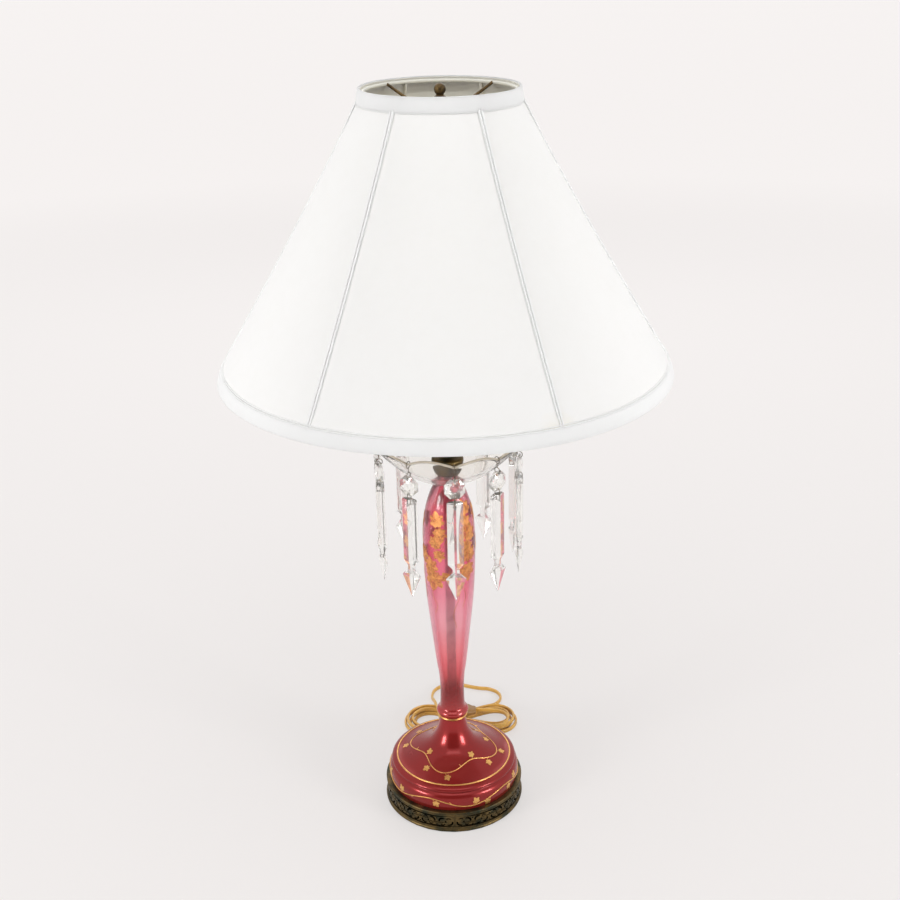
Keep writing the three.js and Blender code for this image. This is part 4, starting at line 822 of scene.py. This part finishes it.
def comma(centre, size, turn, flip):
    # a curled drop-shaped opening
    shape = [(1.0, 0.05), (0.62, 0.52), (0.05, 0.66), (-0.5, 0.5), (-0.92, 0.0), (-0.98, -0.38),
             (-0.72, -0.6), (-0.46, -0.44), (-0.42, -0.12), (-0.05, 0.1), (0.5, 0.12)]
    c, s = size * cos(radians(turn)), size * sin(radians(turn))
    return [(centre[0] + x * c - flip * y * s, centre[1] + x * s + flip * y * c) for x, y in shape]


def dot(centre, size, sides=6):
    angles = [2 * pi * i / sides for i in range(sides)]
    return [(centre[0] + size * cos(a), centre[1] + size * sin(a)) for a in angles]


def galleryBand():
    # drawn flat with its openings, then bent round
    curve = newCurve("band", "2D")
    curve.fill_mode = "BOTH"
    low, high = gallery["band"]
    radius = gallery["bandRadius"]
    whole = 2 * pi * radius
    step = whole / gallery["repeats"]
    count = gallery["repeats"] * 8
    middle = (low + high) / 2
    shapes = [[(whole * i / count, low) for i in range(count + 1)]
              + [(whole * (count - i) / count, high) for i in range(count + 1)]]
    exitPlace = cord["exitTurn"] / 360 * whole
    for i in range(gallery["repeats"]):   # every other repeat is turned over
        x = step * (i + 0.5)
        flip = 1 if i % 2 else -1
        holes = [comma((x + along, middle + up * flip), size, start + lean * flip, flip)
                 for along, up, size, start, lean in ((-4.6, 2.6, 4.1, 0, 12), (4.9, -2.6, 4.1, 180, 12),
                                                      (3.4, 3.3, 2.7, 0, -20), (-3.2, -3.5, 2.7, 180, -20))]
        holes += [dot((x, middle), 1.05), dot((x - step / 2, middle - 3.9 * flip), 0.9),
                  dot((x - step / 2, middle + 3.9 * flip), 0.9)]
        for hole in holes:
            reach = [px for px, _ in hole]
            clear = min(abs(px - exitPlace) for px in reach) > gallery["exitHole"] + gallery["solid"]
            if clear and min(reach) > 0.3 and max(reach) < whole - 0.3:
                shapes.append(hole)
    shapes.append(dot((exitPlace, cord["exitHeight"]), gallery["exitHole"], 20))
    for shape in shapes:
        drawLine(curve, [(x, y, 0) for x, y in shape], True)
    shape = bmesh.new()
    shape.from_mesh(applied(linked("band", curve)))
    bmesh.ops.remove_doubles(shape, verts=shape.verts, dist=1e-4)
    made = bmesh.ops.extrude_face_region(shape, geom=shape.faces[:], use_keep_orig=True)["geom"]
    back = [g for g in made if isinstance(g, bmesh.types.BMVert)]
    bmesh.ops.translate(shape, vec=(0, 0, gallery["wall"]), verts=back)
    for vert in shape.verts:
        x, y, depth = vert.co
        vert.co = around(radius - depth, 360 * x / whole, y) * mm
    clean(shape)
    return shape


def makeGallery():
    low, high, wall = gallery["low"], gallery["high"], gallery["wall"]
    sole, ledge, radius = gallery["foot"], gallery["ledge"], gallery["radius"]
    bandLow, bandHigh = gallery["band"][0] + 0.05, gallery["band"][1] - 0.05
    inside = gallery["bandRadius"] - wall
    bottom = [(radius + out, low + up) for out, up in ((0.7, 0), (0.8, 0.8), (0.3, 2.0), (-0.4, 2.6),
                                                       (-0.1, 3.4), (-0.1, 4.1))]
    bottom = [(sole, low), *bottom, (radius - 0.7, bandLow), (inside, bandLow), (inside, low + wall),
              (sole, low + wall)]
    top = [(radius + out, bandHigh + up) for out, up in ((-0.7, 0), (-0.1, 0.75), (-0.1, 1.55),
                                                         (-0.8, 2.15), (-0.1, 2.95))]
    top = [(inside, bandHigh), *top, (radius + 0.1, high - 0.9), (radius - 0.5, high - 0.15),
           (radius - 1.2, high), (ledge, high), (ledge, high - wall), (inside, high - wall)]
    shape = spun(bottom, 192, True)
    for part in (spun(top, 192, True), galleryBand()):
        takeIn(shape, part)
    fromBmesh("gallery", shape, "lamp", "antique", ["base_gallery"], 30)


# dish with its scalloped rim

dish = {"bottom": 387.2, "flat": 15, "radius": 74, "rise": 42.1, "steep": 1.17, "middle": 5, "wall": 2.2,
        "scallop": 8, "bore": 5.3, "count": 10, "turn": 5, "edge": 1.12}


def dishHeight(radius):
    span = dish["radius"] - dish["flat"]
    start = 2 * dish["rise"] / span - dish["steep"]
    bend = (dish["steep"] * span - dish["rise"]) / span ** 2
    out = max(radius - dish["flat"], 0)
    return start * out + bend * out * out, (start + 2 * bend * out if out else 0)


def dishPoint(radius, side):
    rise, slope = dishHeight(radius)
    span = dish["radius"] - dish["flat"]
    share = min(max(radius - dish["flat"], 0) / span, 1)
    half = side * (dish["middle"] + (dish["wall"] - dish["middle"]) * share) / 2
    tilt = math.atan(slope)
    return radius - half * sin(tilt), dish["bottom"] + dish["middle"] / 2 + rise + half * cos(tilt)


def turnOf(vert):
    return math.degrees(math.atan2(vert.co.x, -vert.co.y))


def scallop(turn):
    # how far the rim is drawn out between two cusps
    return dish["scallop"] * abs(sin(radians(dish["count"] * (turn - dish["turn"]) / 2)))


def makeDish():
    radii = [dish["bore"], 10, 15, 22, 30, 38, 46, 54, 61, 67, 71]
    rim = dish["radius"]
    lip = [dishPoint(rim - back, side)
           for back, side in ((0.5, -0.98), (0.05, -0.5), (-0.15, 0), (0.05, 0.5), (0.5, 0.98))]
    outline = [dishPoint(r, -1) for r in radii] + lip + [dishPoint(r, 1) for r in reversed(radii)]
    shape = spun(outline, 240, True)
    for vert in shape.verts:   # the drawn rim follows the slope
        radius = math.hypot(vert.co.x, vert.co.y) / mm
        turn = turnOf(vert)
        reach = scallop(turn) * smoothStep(radius, 58, rim) ** 2
        if reach:
            vert.co += around(reach, turn, reach * dishHeight(radius)[1]) * mm
    fromBmesh("dish", shape, "lamp", "thin", ["bobeche_dish"], 50)
    # a tan ring over the rim: painted light, standing in for the line that the thin glass wall shows where it
    # is seen edge on
    x, z = dishPoint(rim, 0)
    slope = dishHeight(rim)[1]
    line = [around(x + scallop(turn), turn, z + scallop(turn) * slope)
            for turn in [1.5 * i for i in range(240)]]
    wire("paintedRimLine", [line], dish["edge"], "lamp", "edge", "clear_glass", loop=True)


# chains of hook, bead and prism, drawn at the front and turned to their places

chain = {"radius": 74, "eyeHeight": 431.8, "eye": 3.4, "wire": 0.42, "drop": 14.7, "holes": 15.4,
         "link": 12.3}
beadCut = {"width": 20.5, "edge": 0.8, "mid": (7.4, 2.3), "table": (3.9, 3.4), "hole": 1.3}
prismCut = {"holeDepth": 6.2, "edge": 1.3, "hole": 0.8,
            "stations": [(0, 6.6, 3.2), (1.3, 8.1, 4.5), (68, 8.1, 4.5), (71.2, 4.9, 3.0), (73.6, 3.4, 2.6),
                         (78.6, 3.5, 2.7), (80.2, 5.4, 3.2), (84.8, 10.2, 4.6), (108.8, 0.35, 0.3)]}


def bored(shape, places, radius, reach):
    # drills holes from front to back
    blank = linked("blank", meshOf("blank", shape))
    drill = bmesh.new()
    for place in places:
        rod(drill, place, (radius, radius), reach, 16)
    tool = linked("drill", meshOf("drill", drill))
    cut = blank.modifiers.new("cut", "BOOLEAN")
    cut.operation = "DIFFERENCE"
    cut.solver = "EXACT"
    cut.object = tool
    result = applied(blank)
    bpy.data.objects.remove(tool)
    return result


def beadMesh():
    shape = bmesh.new()
    rings = [(beadCut["width"] / 2 / cos(pi / 8), beadCut["edge"], 22.5), (*beadCut["mid"], 0),
             (*beadCut["table"], 22.5)]
    for radius, depth, turn in rings:
        for side in (-1, 1):
            for i in range(8):
                angle = radians(turn + 45 * i)
                shape.verts.new(Vector((radius * cos(angle), side * depth, radius * sin(angle))) * mm)
    bmesh.ops.convex_hull(shape, input=shape.verts)
    bmesh.ops.dissolve_limit(shape, angle_limit=radians(1), verts=shape.verts, edges=shape.edges)
    middle = chain["drop"] + chain["holes"] / 2
    places = [(0, 0, chain["holes"] / 2), (0, 0, -chain["holes"] / 2)]
    mesh = bored(shape, places, beadCut["hole"], 12)
    mesh.transform(Matrix.Translation((0, 0, -middle * mm)))
    return mesh


def prismMesh():
    shape = bmesh.new()
    top = chain["link"] - prismCut["holeDepth"]
    rings = []
    for down, half, deep in prismCut["stations"]:
        edge = min(prismCut["edge"], 0.6 * deep)
        corners = [(-half, -edge), (0, -deep), (half, -edge), (half, edge), (0, deep), (-half, edge)]
        rings.append([shape.verts.new(Vector((x, y, -top - down)) * mm) for x, y in corners])
    loops = [[shape.edges.new((ring[i], ring[(i + 1) % 6])) for i in range(6)] for ring in rings]
    for a, b in zip(loops, loops[1:]):
        bmesh.ops.bridge_loops(shape, edges=a + b)
    shape.faces.new(rings[0])
    shape.faces.new(rings[-1])
    bmesh.ops.recalc_face_normals(shape, faces=shape.faces)
    mesh = bored(shape, [(0, 0, -chain["link"])], prismCut["hole"], 20)
    mesh.transform(Matrix.Translation((0, 0, -(chain["drop"] + chain["holes"]) * mm)))
    return mesh


def eyeLine(top, straight=0, steps=20):
    # a wire eye standing front to back, pulled down by a straight length
    line = []
    for i in range(steps):
        angle = 2 * pi * (i + 0.5) / steps
        pulled = straight if sin(angle) < 0 else 0
        line.append(Vector((0, chain["eye"] * cos(angle), top + chain["eye"] * sin(angle) - pulled)))
    return line


def turnedOut(line, azimuth):
    place = around(chain["radius"], azimuth, chain["eyeHeight"])
    return [Matrix.Rotation(radians(azimuth), 3, "Z") @ point + place for point in line]


def makeChains():
    bead, prism = beadMesh(), prismMesh()
    lower = chain["eye"] - chain["drop"]
    linkTop = -chain["drop"] - chain["holes"] - chain["eye"]
    link = eyeLine(linkTop, chain["link"] - 2 * chain["eye"])
    sway, reach = chain["wire"] * 0.1, lower + 2 * chain["eye"]
    shank = [Vector((sway * sin(k * 1.3), sway * cos(k * 1.3), reach * k / 12 - chain["eye"]))
             for k in range(13)]
    for i in range(dish["count"]):
        azimuth = dish["turn"] + 360 * i / dish["count"]
        number = f"{i + 1:02d}"
        place = Matrix.Translation(around(chain["radius"], azimuth, chain["eyeHeight"]) * mm)
        move = place @ Matrix.Rotation(radians(azimuth), 4, "Z")
        for kind, mesh in (("bead", bead), ("prism", prism)):
            copy = mesh.copy()
            copy.transform(move)
            body = f"{kind}_{number}"
            onBody(linked(kind + "Glass" + number, copy), body, "cut", [body])
        for name, lines, thick, body, nodes, loop in (
                ("hookEyes", [eyeLine(0), eyeLine(lower)], 1, "bead_", ["hook_" + number], True),
                ("hookShank", [shank], 0.9, "bead_", [], False),
                ("link", [link], 1, "prism_", [], True)):
            wire(name + number, [turnedOut(line, azimuth) for line in lines], chain["wire"] * thick,
                 body + number, "wire", "brass", nodes, loop, 2)
    print("chains hung:", dish["count"])


# brass above the dish

cup = {"bottom": 392.5, "neckTop": 447.8, "bore": 5.4,
       "outline": [(10, 0), (12.2, 1.2), (13.6, 3.4), (15.1, 7), (15.8, 11), (16.1, 14.7), (16.4, 15.6),
                   (16.4, 17.8), (15.9, 19.2), (14.6, 20.2), (11.6, 20.8), (9.4, 21.1), (7.9, 22.2),
                   (7.1, 24.2), (7, 26), (7, 51.5), (7.4, 52.6), (8, 53.3), (8, 55.3)]}
socket = {"cap": [(8.5, 450.2), (9.6, 451.2), (10.2, 452.6), (12.6, 455.4), (15.6, 460.4), (16.3, 464.6),
                  (16.9, 465.2), (16.9, 466.8), (16.5, 467.2), (15.8, 467.2), (11.8, 458.8), (5.4, 453.2),
                  (5.4, 450.2)],
          "shell": [(15.9, 467.5), (16.8, 467.5), (16.8, 472), (17.1, 472.6), (17.1, 473.8), (16.8, 474.4),
                    (16.8, 500), (17.1, 500.6), (17.1, 502), (16.8, 502.6), (16.8, 505.6), (17.3, 506.6),
                    (17.1, 507.5), (15.9, 507.5)],
          "boss": (4.1, 3.5), "bossMiddle": 17.6, "bossLong": 2.4, "knobHeight": 479.5, "shaft": 1.8,
          "shaftStart": 19.1, "shaftEnd": 30.1, "key": (14, 9.8, 3.2), "keyMiddle": 33.1}


def makeBrassware():
    line = [(p.x, p.y + cup["bottom"]) for p in flowing(cup["outline"], 3)]
    line += [(cup["bore"], cup["neckTop"]), (cup["bore"], cup["bottom"])]
    fromBmesh("cup", spun(line, 64, True), "lamp", "antique", ["brass_cup"], 32)
    fromBmesh("socketCap", spun(socket["cap"], 48, True), "lamp", "brass", ["socket_cap"], 32)
    shell = spun(socket["shell"], 48, True)
    boss = rod(shell, (0, -socket["bossMiddle"], socket["knobHeight"]), socket["boss"], socket["bossLong"])
    rim = [edge for edge in shell.edges if all(v in boss for v in edge.verts) and len(edge.link_faces) == 2
           and edge.calc_face_angle(0) > 1]
    bmesh.ops.bevel(shell, geom=rim, offset=0.4 * mm, segments=2, affect="EDGES", profile=0.5, material=-1)
    fromBmesh("socketShell", shell, "lamp", "brass", ["socket_shell"], 32)


def makeSwitch():
    shape = bmesh.new()
    start, end, height = socket["shaftStart"], socket["shaftEnd"], socket["knobHeight"]
    rod(shape, (0, -(start + end) / 2, height), (socket["shaft"], socket["shaft"]), end - start)
    block(shape, socket["key"], (0, -socket["keyMiddle"], height), 1.2, 4)
    bmesh.ops.recalc_face_normals(shape, faces=shape.faces)
    fromBmesh("switchKey", shape, "switch", "key", ["switch_knob"], 40)


harp = {"halfWidth": 28, "leg": 473.4, "straight": 495.15, "top": 752.1, "crown": 755.1, "wide": 60,
        "wire": 2, "crownRadius": 8, "crownDeep": 5.2, "stud": 3.1, "studTop": 769.1, "thread": 0.8,
        "bow": [(0.68, 0.17), (0.93, 0.38), (1, 0.58), (0.88, 0.8), (0.55, 0.95), (0.2, 1)],
        "sleeve": (462.15, 479.15), "sleeveBore": 2.5}


def makeHarp():
    straight, side = harp["straight"], harp["halfWidth"]
    bow = harp["top"] - straight
    right = [(side, harp["leg"]), (side, 484), (side, straight)]   # upright where the sleeves slide
    right += [(side + 0.3, straight + 8), (side + 2.5, straight + 20)]
    right += [(harp["wide"] * x, straight + bow * z) for x, z in harp["bow"]]
    line = [Vector((x, 0, z)) for x, z in right + [(-x, z) for x, z in reversed(right)]]
    wire("harpWire", [flowing(line, 8)], harp["wire"], "lamp", "brass", "brass", ["harp"], sides=4)
    crown, wide, stud = harp["crown"], harp["crownRadius"], harp["stud"]
    low, root = crown - harp["crownDeep"], stud - 0.3
    post = [(0, low), (wide - 1, low), (wide, low + 0.8), (wide, crown - 0.5), (wide - 0.5, crown),
            (stud, crown)]
    for i in range(16):   # shallow thread
        z = crown + 0.6 + i * harp["thread"]
        post += [(stud, z), (root, z + harp["thread"] / 2)]
    post += [(root, harp["studTop"]), (0, harp["studTop"])]
    fromBmesh("harpCrown", spun(post, 40), "lamp", "brass", crease=32)
    low, high = harp["sleeve"]
    bore = harp["sleeveBore"]
    outline = [(bore + wall, z) for wall, z in ((0, low), (0.9, low), (1.15, low + 0.6), (1.1, low + 2.4),
                                                (0.85, low + 3), (0.85, high - 1.6), (1.1, high - 1),
                                                (0.9, high), (0, high))]
    for name, sign in (("left", -1), ("right", 1)):
        shape = spun(outline, 32, True)
        bmesh.ops.translate(shape, vec=(sign * side * mm, 0, 0), verts=shape.verts)
        fromBmesh("harpSleeve" + name.title(), shape, "sleeve_" + name, "brass",
                  ["harp_sleeve_" + name], 32)


def arc(radius, height, first, last, step):
    angles = [radians(a) for a in range(first, last, step)]
    return [(radius * cos(a), height + radius * sin(a)) for a in angles]


bulb = {"low": 480.5, "baseTop": 505.5, "globe": 505.8, "top": 587.8, "radius": 30, "root": 12.2,
        "pitch": 3}


def makeBulb():
    low, high, root = bulb["low"], bulb["baseTop"], bulb["root"]
    base = [(0, low), (3.5, low), (4.2, low + 0.7), (4.4, low + 1.6), (9.5, low + 3.4), (11.6, low + 4.6)]
    for i in range(6):   # round thread
        z = low + 6 + i * bulb["pitch"]
        base += [(root, z), (root + 0.6, z + 0.7), (root + 0.8, z + 1.5), (root + 0.6, z + 2.2)]
    base += [(root, high - 1), (root + 1, high), (0, high)]
    fromBmesh("bulbBase", spun(base, 40), "lamp", "steel", ["bulb_base"], 32)
    ball = arc(bulb["radius"], bulb["top"] - bulb["radius"], -35, 90, 5)
    neck = [(12.6, bulb["globe"]), (12.9, 509), (14.5, 515.5), (18.6, 528), ball[0]]
    neck = [(p.x, p.y) for p in flowing(neck, 4)]
    outline = [(0, bulb["globe"]), *neck, *ball[1:], (0, bulb["top"])]
    fromBmesh("bulbGlobe", spun(outline, 48), "lamp", "bulb", ["bulb_globe"], 60)


finial = {"low": 757.5, "top": 782.5, "ball": 5.5, "bore": 3.45, "boreTop": 769.7}


def makeFinial():
    low, bore = finial["low"], finial["bore"]
    outline = [(0, finial["boreTop"]), (bore, finial["boreTop"]), (bore, low)]
    outline += [(radius, low + up) for radius, up in ((6.2, 0), (6.5, 0.5), (6.5, 2.2), (5.9, 2.8),
                                                      (4.8, 3.6), (4.65, 5), (4.65, 9.5), (5.3, 10.5),
                                                      (6.0, 11.3), (6.0, 12.3), (5.2, 13.1), (3.9, 13.9),
                                                      (3.5, 14.7))]
    outline += arc(finial["ball"], finial["top"] - finial["ball"], -48, 90, 8)
    outline += [(0, finial["top"])]
    fromBmesh("finialTurned", spun(outline, 48), "finial", "finialBrass", ["finial"], 32)


# shade

shade = {"top": 780.1, "collar": 766.6, "hem": 520.2, "bottom": 507.9, "topRadius": 74.4,
         "collarRadius": 76.2, "hemRadius": 218.4, "bottomRadius": 222.7, "bow": 3, "wall": 1.5,
         "panels": 6, "turn": 27, "piping": 0.85, "bandPiping": 0.62, "apart": 1.15, "tape": (2.7, 0.35),
         "inset": 3.9, "sink": 0.7, "fold": 9, "edge": 0.6, "hub": 756.3}


def shadeShare(height, low, high):
    return (height - shade[low]) / (shade[high] - shade[low])


def shadeRadius(height):
    # a straight slope in each of the two bands, and a slightly bowed cone between them
    low, high, bow = "hem", "collar", shade["bow"]
    if height > shade["collar"]:
        low, high, bow = "collar", "top", 0
    if height < shade["hem"]:
        low, high, bow = "bottom", "hem", 0
    share = shadeShare(height, low, high)
    start = shade[low + "Radius"]
    return start + (shade[high + "Radius"] - start) * share - 4 * bow * share * (1 - share)


def between(low, high, steps):
    return [low + (high - low) * i / steps for i in range(steps + 1)]


def makeCover():
    heights = [shade["bottom"] + shade["edge"], *between(shade["hem"], shade["collar"], 12),
               shade["top"] - shade["edge"]]
    outline = [(shadeRadius(z), z) for z in heights]
    outline += [(radius - shade["wall"], z) for radius, z in reversed(outline)]
    shape = spun(outline, 180, True)
    span = 360 / shade["panels"]
    for vert in shape.verts:   # the cloth is drawn a little flat between its ribs
        across = sin(pi * ((turnOf(vert) - shade["turn"]) / span % 1)) ** 2
        rise = min(max(shadeShare(vert.co.z / mm, "bottom", "top"), 0), 1)
        away = Vector((vert.co.x, vert.co.y, 0)).normalized()
        vert.co -= away * shade["sink"] * across * (0.4 + 0.6 * sin(pi * rise)) * mm
    piece = fromBmesh("shadeCoverCloth", shape, "shade", "cloth", ["shade_cover"], 40)
    piece.data.materials.append(paints["lining"].material)
    for face in piece.data.polygons:
        if face.normal.x * face.center.x + face.normal.y * face.center.y < 0:
            face.material_index = 1


def seamTurns():
    return [shade["turn"] + 360 * i / shade["panels"] for i in range(shade["panels"])]


def makePiping():
    lines = []
    heights = between(shade["hem"] - 2, shade["collar"] + 2, 8)
    for turn in seamTurns():
        for side in (-1, 1):
            line = [(shadeRadius(z) + 0.45, z) for z in heights]
            lines.append([around(r, turn + side * math.degrees(shade["apart"] / r), z) for r, z in line])
    wire("seamPiping", lines, shade["piping"], "shade", "trim", "shade_fabric")
    tape = bmesh.new()
    half, thick = shade["tape"]
    for turn in seamTurns():
        rows = []
        for z in heights:
            radius = shadeRadius(z) + thick
            turns = [turn + side * math.degrees(half / radius) for side in (-1, 1)]
            rows.append(tape.edges.new([tape.verts.new(around(radius, t, z) * mm) for t in turns]))
        for pair in zip(rows, rows[1:]):
            bmesh.ops.bridge_loops(tape, edges=pair)
    bmesh.ops.solidify(tape, geom=tape.faces[:], thickness=thick * mm)
    bmesh.ops.recalc_face_normals(tape, faces=tape.faces)
    fromBmesh("seamTape", tape, "shade", "trim")


def makeBand(name, low, high, thick, node):
    # a folded strip of cloth, rounded at both edges
    rows = between(low, high, 6)
    outline = [(shadeRadius(z) + 0.3 + thick * (0.55 + 0.45 * sin(pi * i / 6) ** 0.5), z)
               for i, z in enumerate(rows)]
    outline += [(shadeRadius(z) - 0.1, z) for z in reversed(rows)]
    fromBmesh(name, spun(outline, 180, True), "shade", "trim", [node], 50)


def makeFold(name, places, steps):
    # the band's edge turned in over the lining
    outline = [(shadeRadius(z) - shade["wall"] - out, z) for z, out in places]
    fromBmesh(name, spun(outline, steps, True), "shade", "lining")


def makeBands():
    top, bottom = shade["top"], shade["bottom"]
    makeBand("topBandCloth", shade["collar"], top, 1.0, "shade_top_band")
    makeBand("bottomBandCloth", bottom, shade["hem"], 1.2, "shade_bottom_band")
    edges = [(shade["collar"] - 0.5, 0.2), (shade["hem"] + 0.5, 0.3), (shade["hem"] + 2, 0.3),
             (top - 0.4, 0.5)]
    wire("bandPiping", [ringLine(shadeRadius(z) + out, z, 144) for z, out in edges], shade["bandPiping"],
         "shade", "trim", "shade_fabric", loop=True)
    fold, edge = shade["fold"], shade["edge"]
    makeFold("topFold", [(top - fold, 0.05), (top - fold, 0.7), (top - edge, 0.8), (top - edge, 0.05)], 144)
    makeFold("bottomFold", [(bottom + edge, 0.05), (bottom + edge, 0.8), (bottom + fold, 0.7),
                            (bottom + fold, 0.05)], 180)


def makeFrame():
    high, low, inset, hub = shade["top"] - 4, shade["bottom"] + 3, shade["inset"], shade["hub"]
    ringRadius = shadeRadius(high) - inset
    arm = [(9, hub), (14.5, hub + 0.4), (42, hub + 8.3), (ringRadius, high)]
    arms = [flowing([around(radius, turn, z) for radius, z in arm], 6) for turn in (45, 135, 225, 315)]
    wire("spiderArms", arms, 1.5, "shade", "finialBrass", "antique_brass", ["shade_spider"])
    wire("topRing", [ringLine(ringRadius, high)], 1.6, "shade", "lining", "shade_fabric", loop=True)
    washer = [(3.5, -0.9), (12.2, -0.9), (12.5, -0.5), (12.5, 0.5), (12.2, 0.9), (3.5, 0.9)]
    washer = spun([(radius, hub + z) for radius, z in washer], 48, True)
    fromBmesh("spiderHub", washer, "shade", "finialBrass")
    bends = [low, *between(shade["hem"], shade["collar"], 6), high - 2]
    ribs = [[around(shadeRadius(z) - inset, turn, z) for z in bends] for turn in seamTurns()]
    wire("cageRibs", ribs, 1.2, "shade", "lining", "antique_brass", ["shade_cage"])
    wire("bottomRing", [ringLine(shadeRadius(low) - inset, low, 144)], 1.5, "shade", "lining",
         "antique_brass", loop=True)


def dressHiddenNodes():
    for node, paint in (("felt_pad", "felt"), ("base_plate", "steel"), ("base_weight", "iron"),
                        ("rod_nut", "brass"), ("threaded_rod", "steel"), ("harp_saddle", "brass"),
                        ("socket_liner", "card")):
        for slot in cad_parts[node].material_slots:
            slot.material = paints[paint].material


# floor, backdrop and lights

studio = {"floor": (0.91, 0.88, 0.87), "albedo": 0.33, "glow": 0.77, "near": 0.76, "pool": (0.5, 3.6),
          "sky": (0.93, 0.915, 0.91), "skyGlow": 1.0, "ambient": 0.6, "card": (0.08, 0.08, 0.07),
          "cardPlace": (0, -2300, 900), "cardWide": 3.0, "aim": (0, 0, 0.4),
          "lamps": [((-1.9, -1.3, 0.75), 0.7, 0.65, 27), ((1.9, -1.3, 0.75), 0.7, 0.65, 27),
                    ((0.0, -0.9, 2.6), 1.8, 1.4, 13), ((0.0, 1.8, 1.6), 2.0, 1.4, 12)]}


def stageSheet(name, size, matrix, paint):
    sheet = bmesh.new()
    bmesh.ops.create_grid(sheet, x_segments=1, y_segments=1, size=size, matrix=matrix)
    mesh = meshOf(name, sheet)
    mesh.materials.append(paint.material)
    linked(name, mesh)


def seenRays(paint, kinds):
    # 1 for the kinds of ray that see the studio itself
    rays = paint.node("LightPath", out="Is Camera Ray").socket.node
    return sum((Field(paint, rays.outputs[f"Is {kind} Ray"]) for kind in kinds), 0)


def makeFloor():
    floor = Paint("floor", Roughness=0.9, Emission_Strength=studio["glow"])
    floor.set("Base_Color", tuple(studio["albedo"] * c for c in studio["floor"]))
    away = floor.node("VectorMath", {"operation": "LENGTH"}, {0: floor.place()}, "Value")
    near = tuple(studio["near"] * c for c in studio["floor"])   # the lamps make up for it near the object
    tone = floor.mix(near, studio["floor"], floor.spread(away, *studio["pool"]))
    seen = seenRays(floor, ("Camera", "Glossy", "Transmission"))
    floor.set("Emission_Color", floor.mix((0, 0, 0), tone, seen))
    stageSheet("floor", 40, Matrix(), floor)


def makeCard():
    # the dark room behind the camera
    card = Paint("card", Base_Color=studio["card"], Roughness=1)
    card.set("Alpha", 1 - seenRays(card, ("Camera", "Transmission")))   # seen in a gloss, never outright
    stageSheet("darkCard", studio["cardWide"] / 2, standing(studio["cardPlace"]), card)


def makeBackdrop():
    world = bpy.data.worlds.new("studio")
    bpy.context.scene.world = world
    world.use_nodes = True
    tree = world.node_tree
    tree.nodes.clear()
    blend = tree.nodes.new("ShaderNodeMixShader")
    output = tree.nodes.new("ShaderNodeOutputWorld")
    for i, strength in enumerate((studio["ambient"], studio["skyGlow"])):
        glow = tree.nodes.new("ShaderNodeBackground")
        glow.inputs["Color"].default_value = (*studio["sky"], 1)
        glow.inputs["Strength"].default_value = strength
        tree.links.new(glow.outputs[0], blend.inputs[i + 1])
    rays = tree.nodes.new("ShaderNodeLightPath")
    share = rays.outputs["Is Camera Ray"]
    for kind in ("Is Glossy Ray", "Is Transmission Ray"):
        either = tree.nodes.new("ShaderNodeMath")
        either.operation = "MAXIMUM"
        tree.links.new(share, either.inputs[0])
        tree.links.new(rays.outputs[kind], either.inputs[1])
        share = either.outputs[0]
    tree.links.new(share, blend.inputs[0])
    tree.links.new(blend.outputs[0], output.inputs[0])


def makeLamps():
    for i, (place, wide, tall, power) in enumerate(studio["lamps"]):
        data = bpy.data.lights.new(f"softbox{i}", "AREA")
        data.shape = "RECTANGLE"
        data.size = wide
        data.size_y = tall
        data.energy = power
        lamp = linked(f"softbox{i}", data)
        lamp.location = place
        aim = Vector(studio["aim"]) - Vector(place)
        lamp.rotation_euler = aim.to_track_quat("-Z", "Y").to_euler()


setCamera()
makeCord()
makeGallery()
glassBody("foot", foot, 160, "ruby", "glass_foot")
glassBody("stem", stem, 128, "rose", "glass_stem")
makeFootVines()
makeStemPainting()
print("glass and gilding laid")
makeDish()
makeChains()
makeBrassware()
makeSwitch()
makeHarp()
makeBulb()
makeFinial()
print("brassware fitted")
makeCover()
makePiping()
makeBands()
makeFrame()
dressHiddenNodes()
print("shade covered")
makeFloor()
makeCard()
makeBackdrop()
makeLamps()
bpy.context.scene.view_settings.view_transform = "Standard"
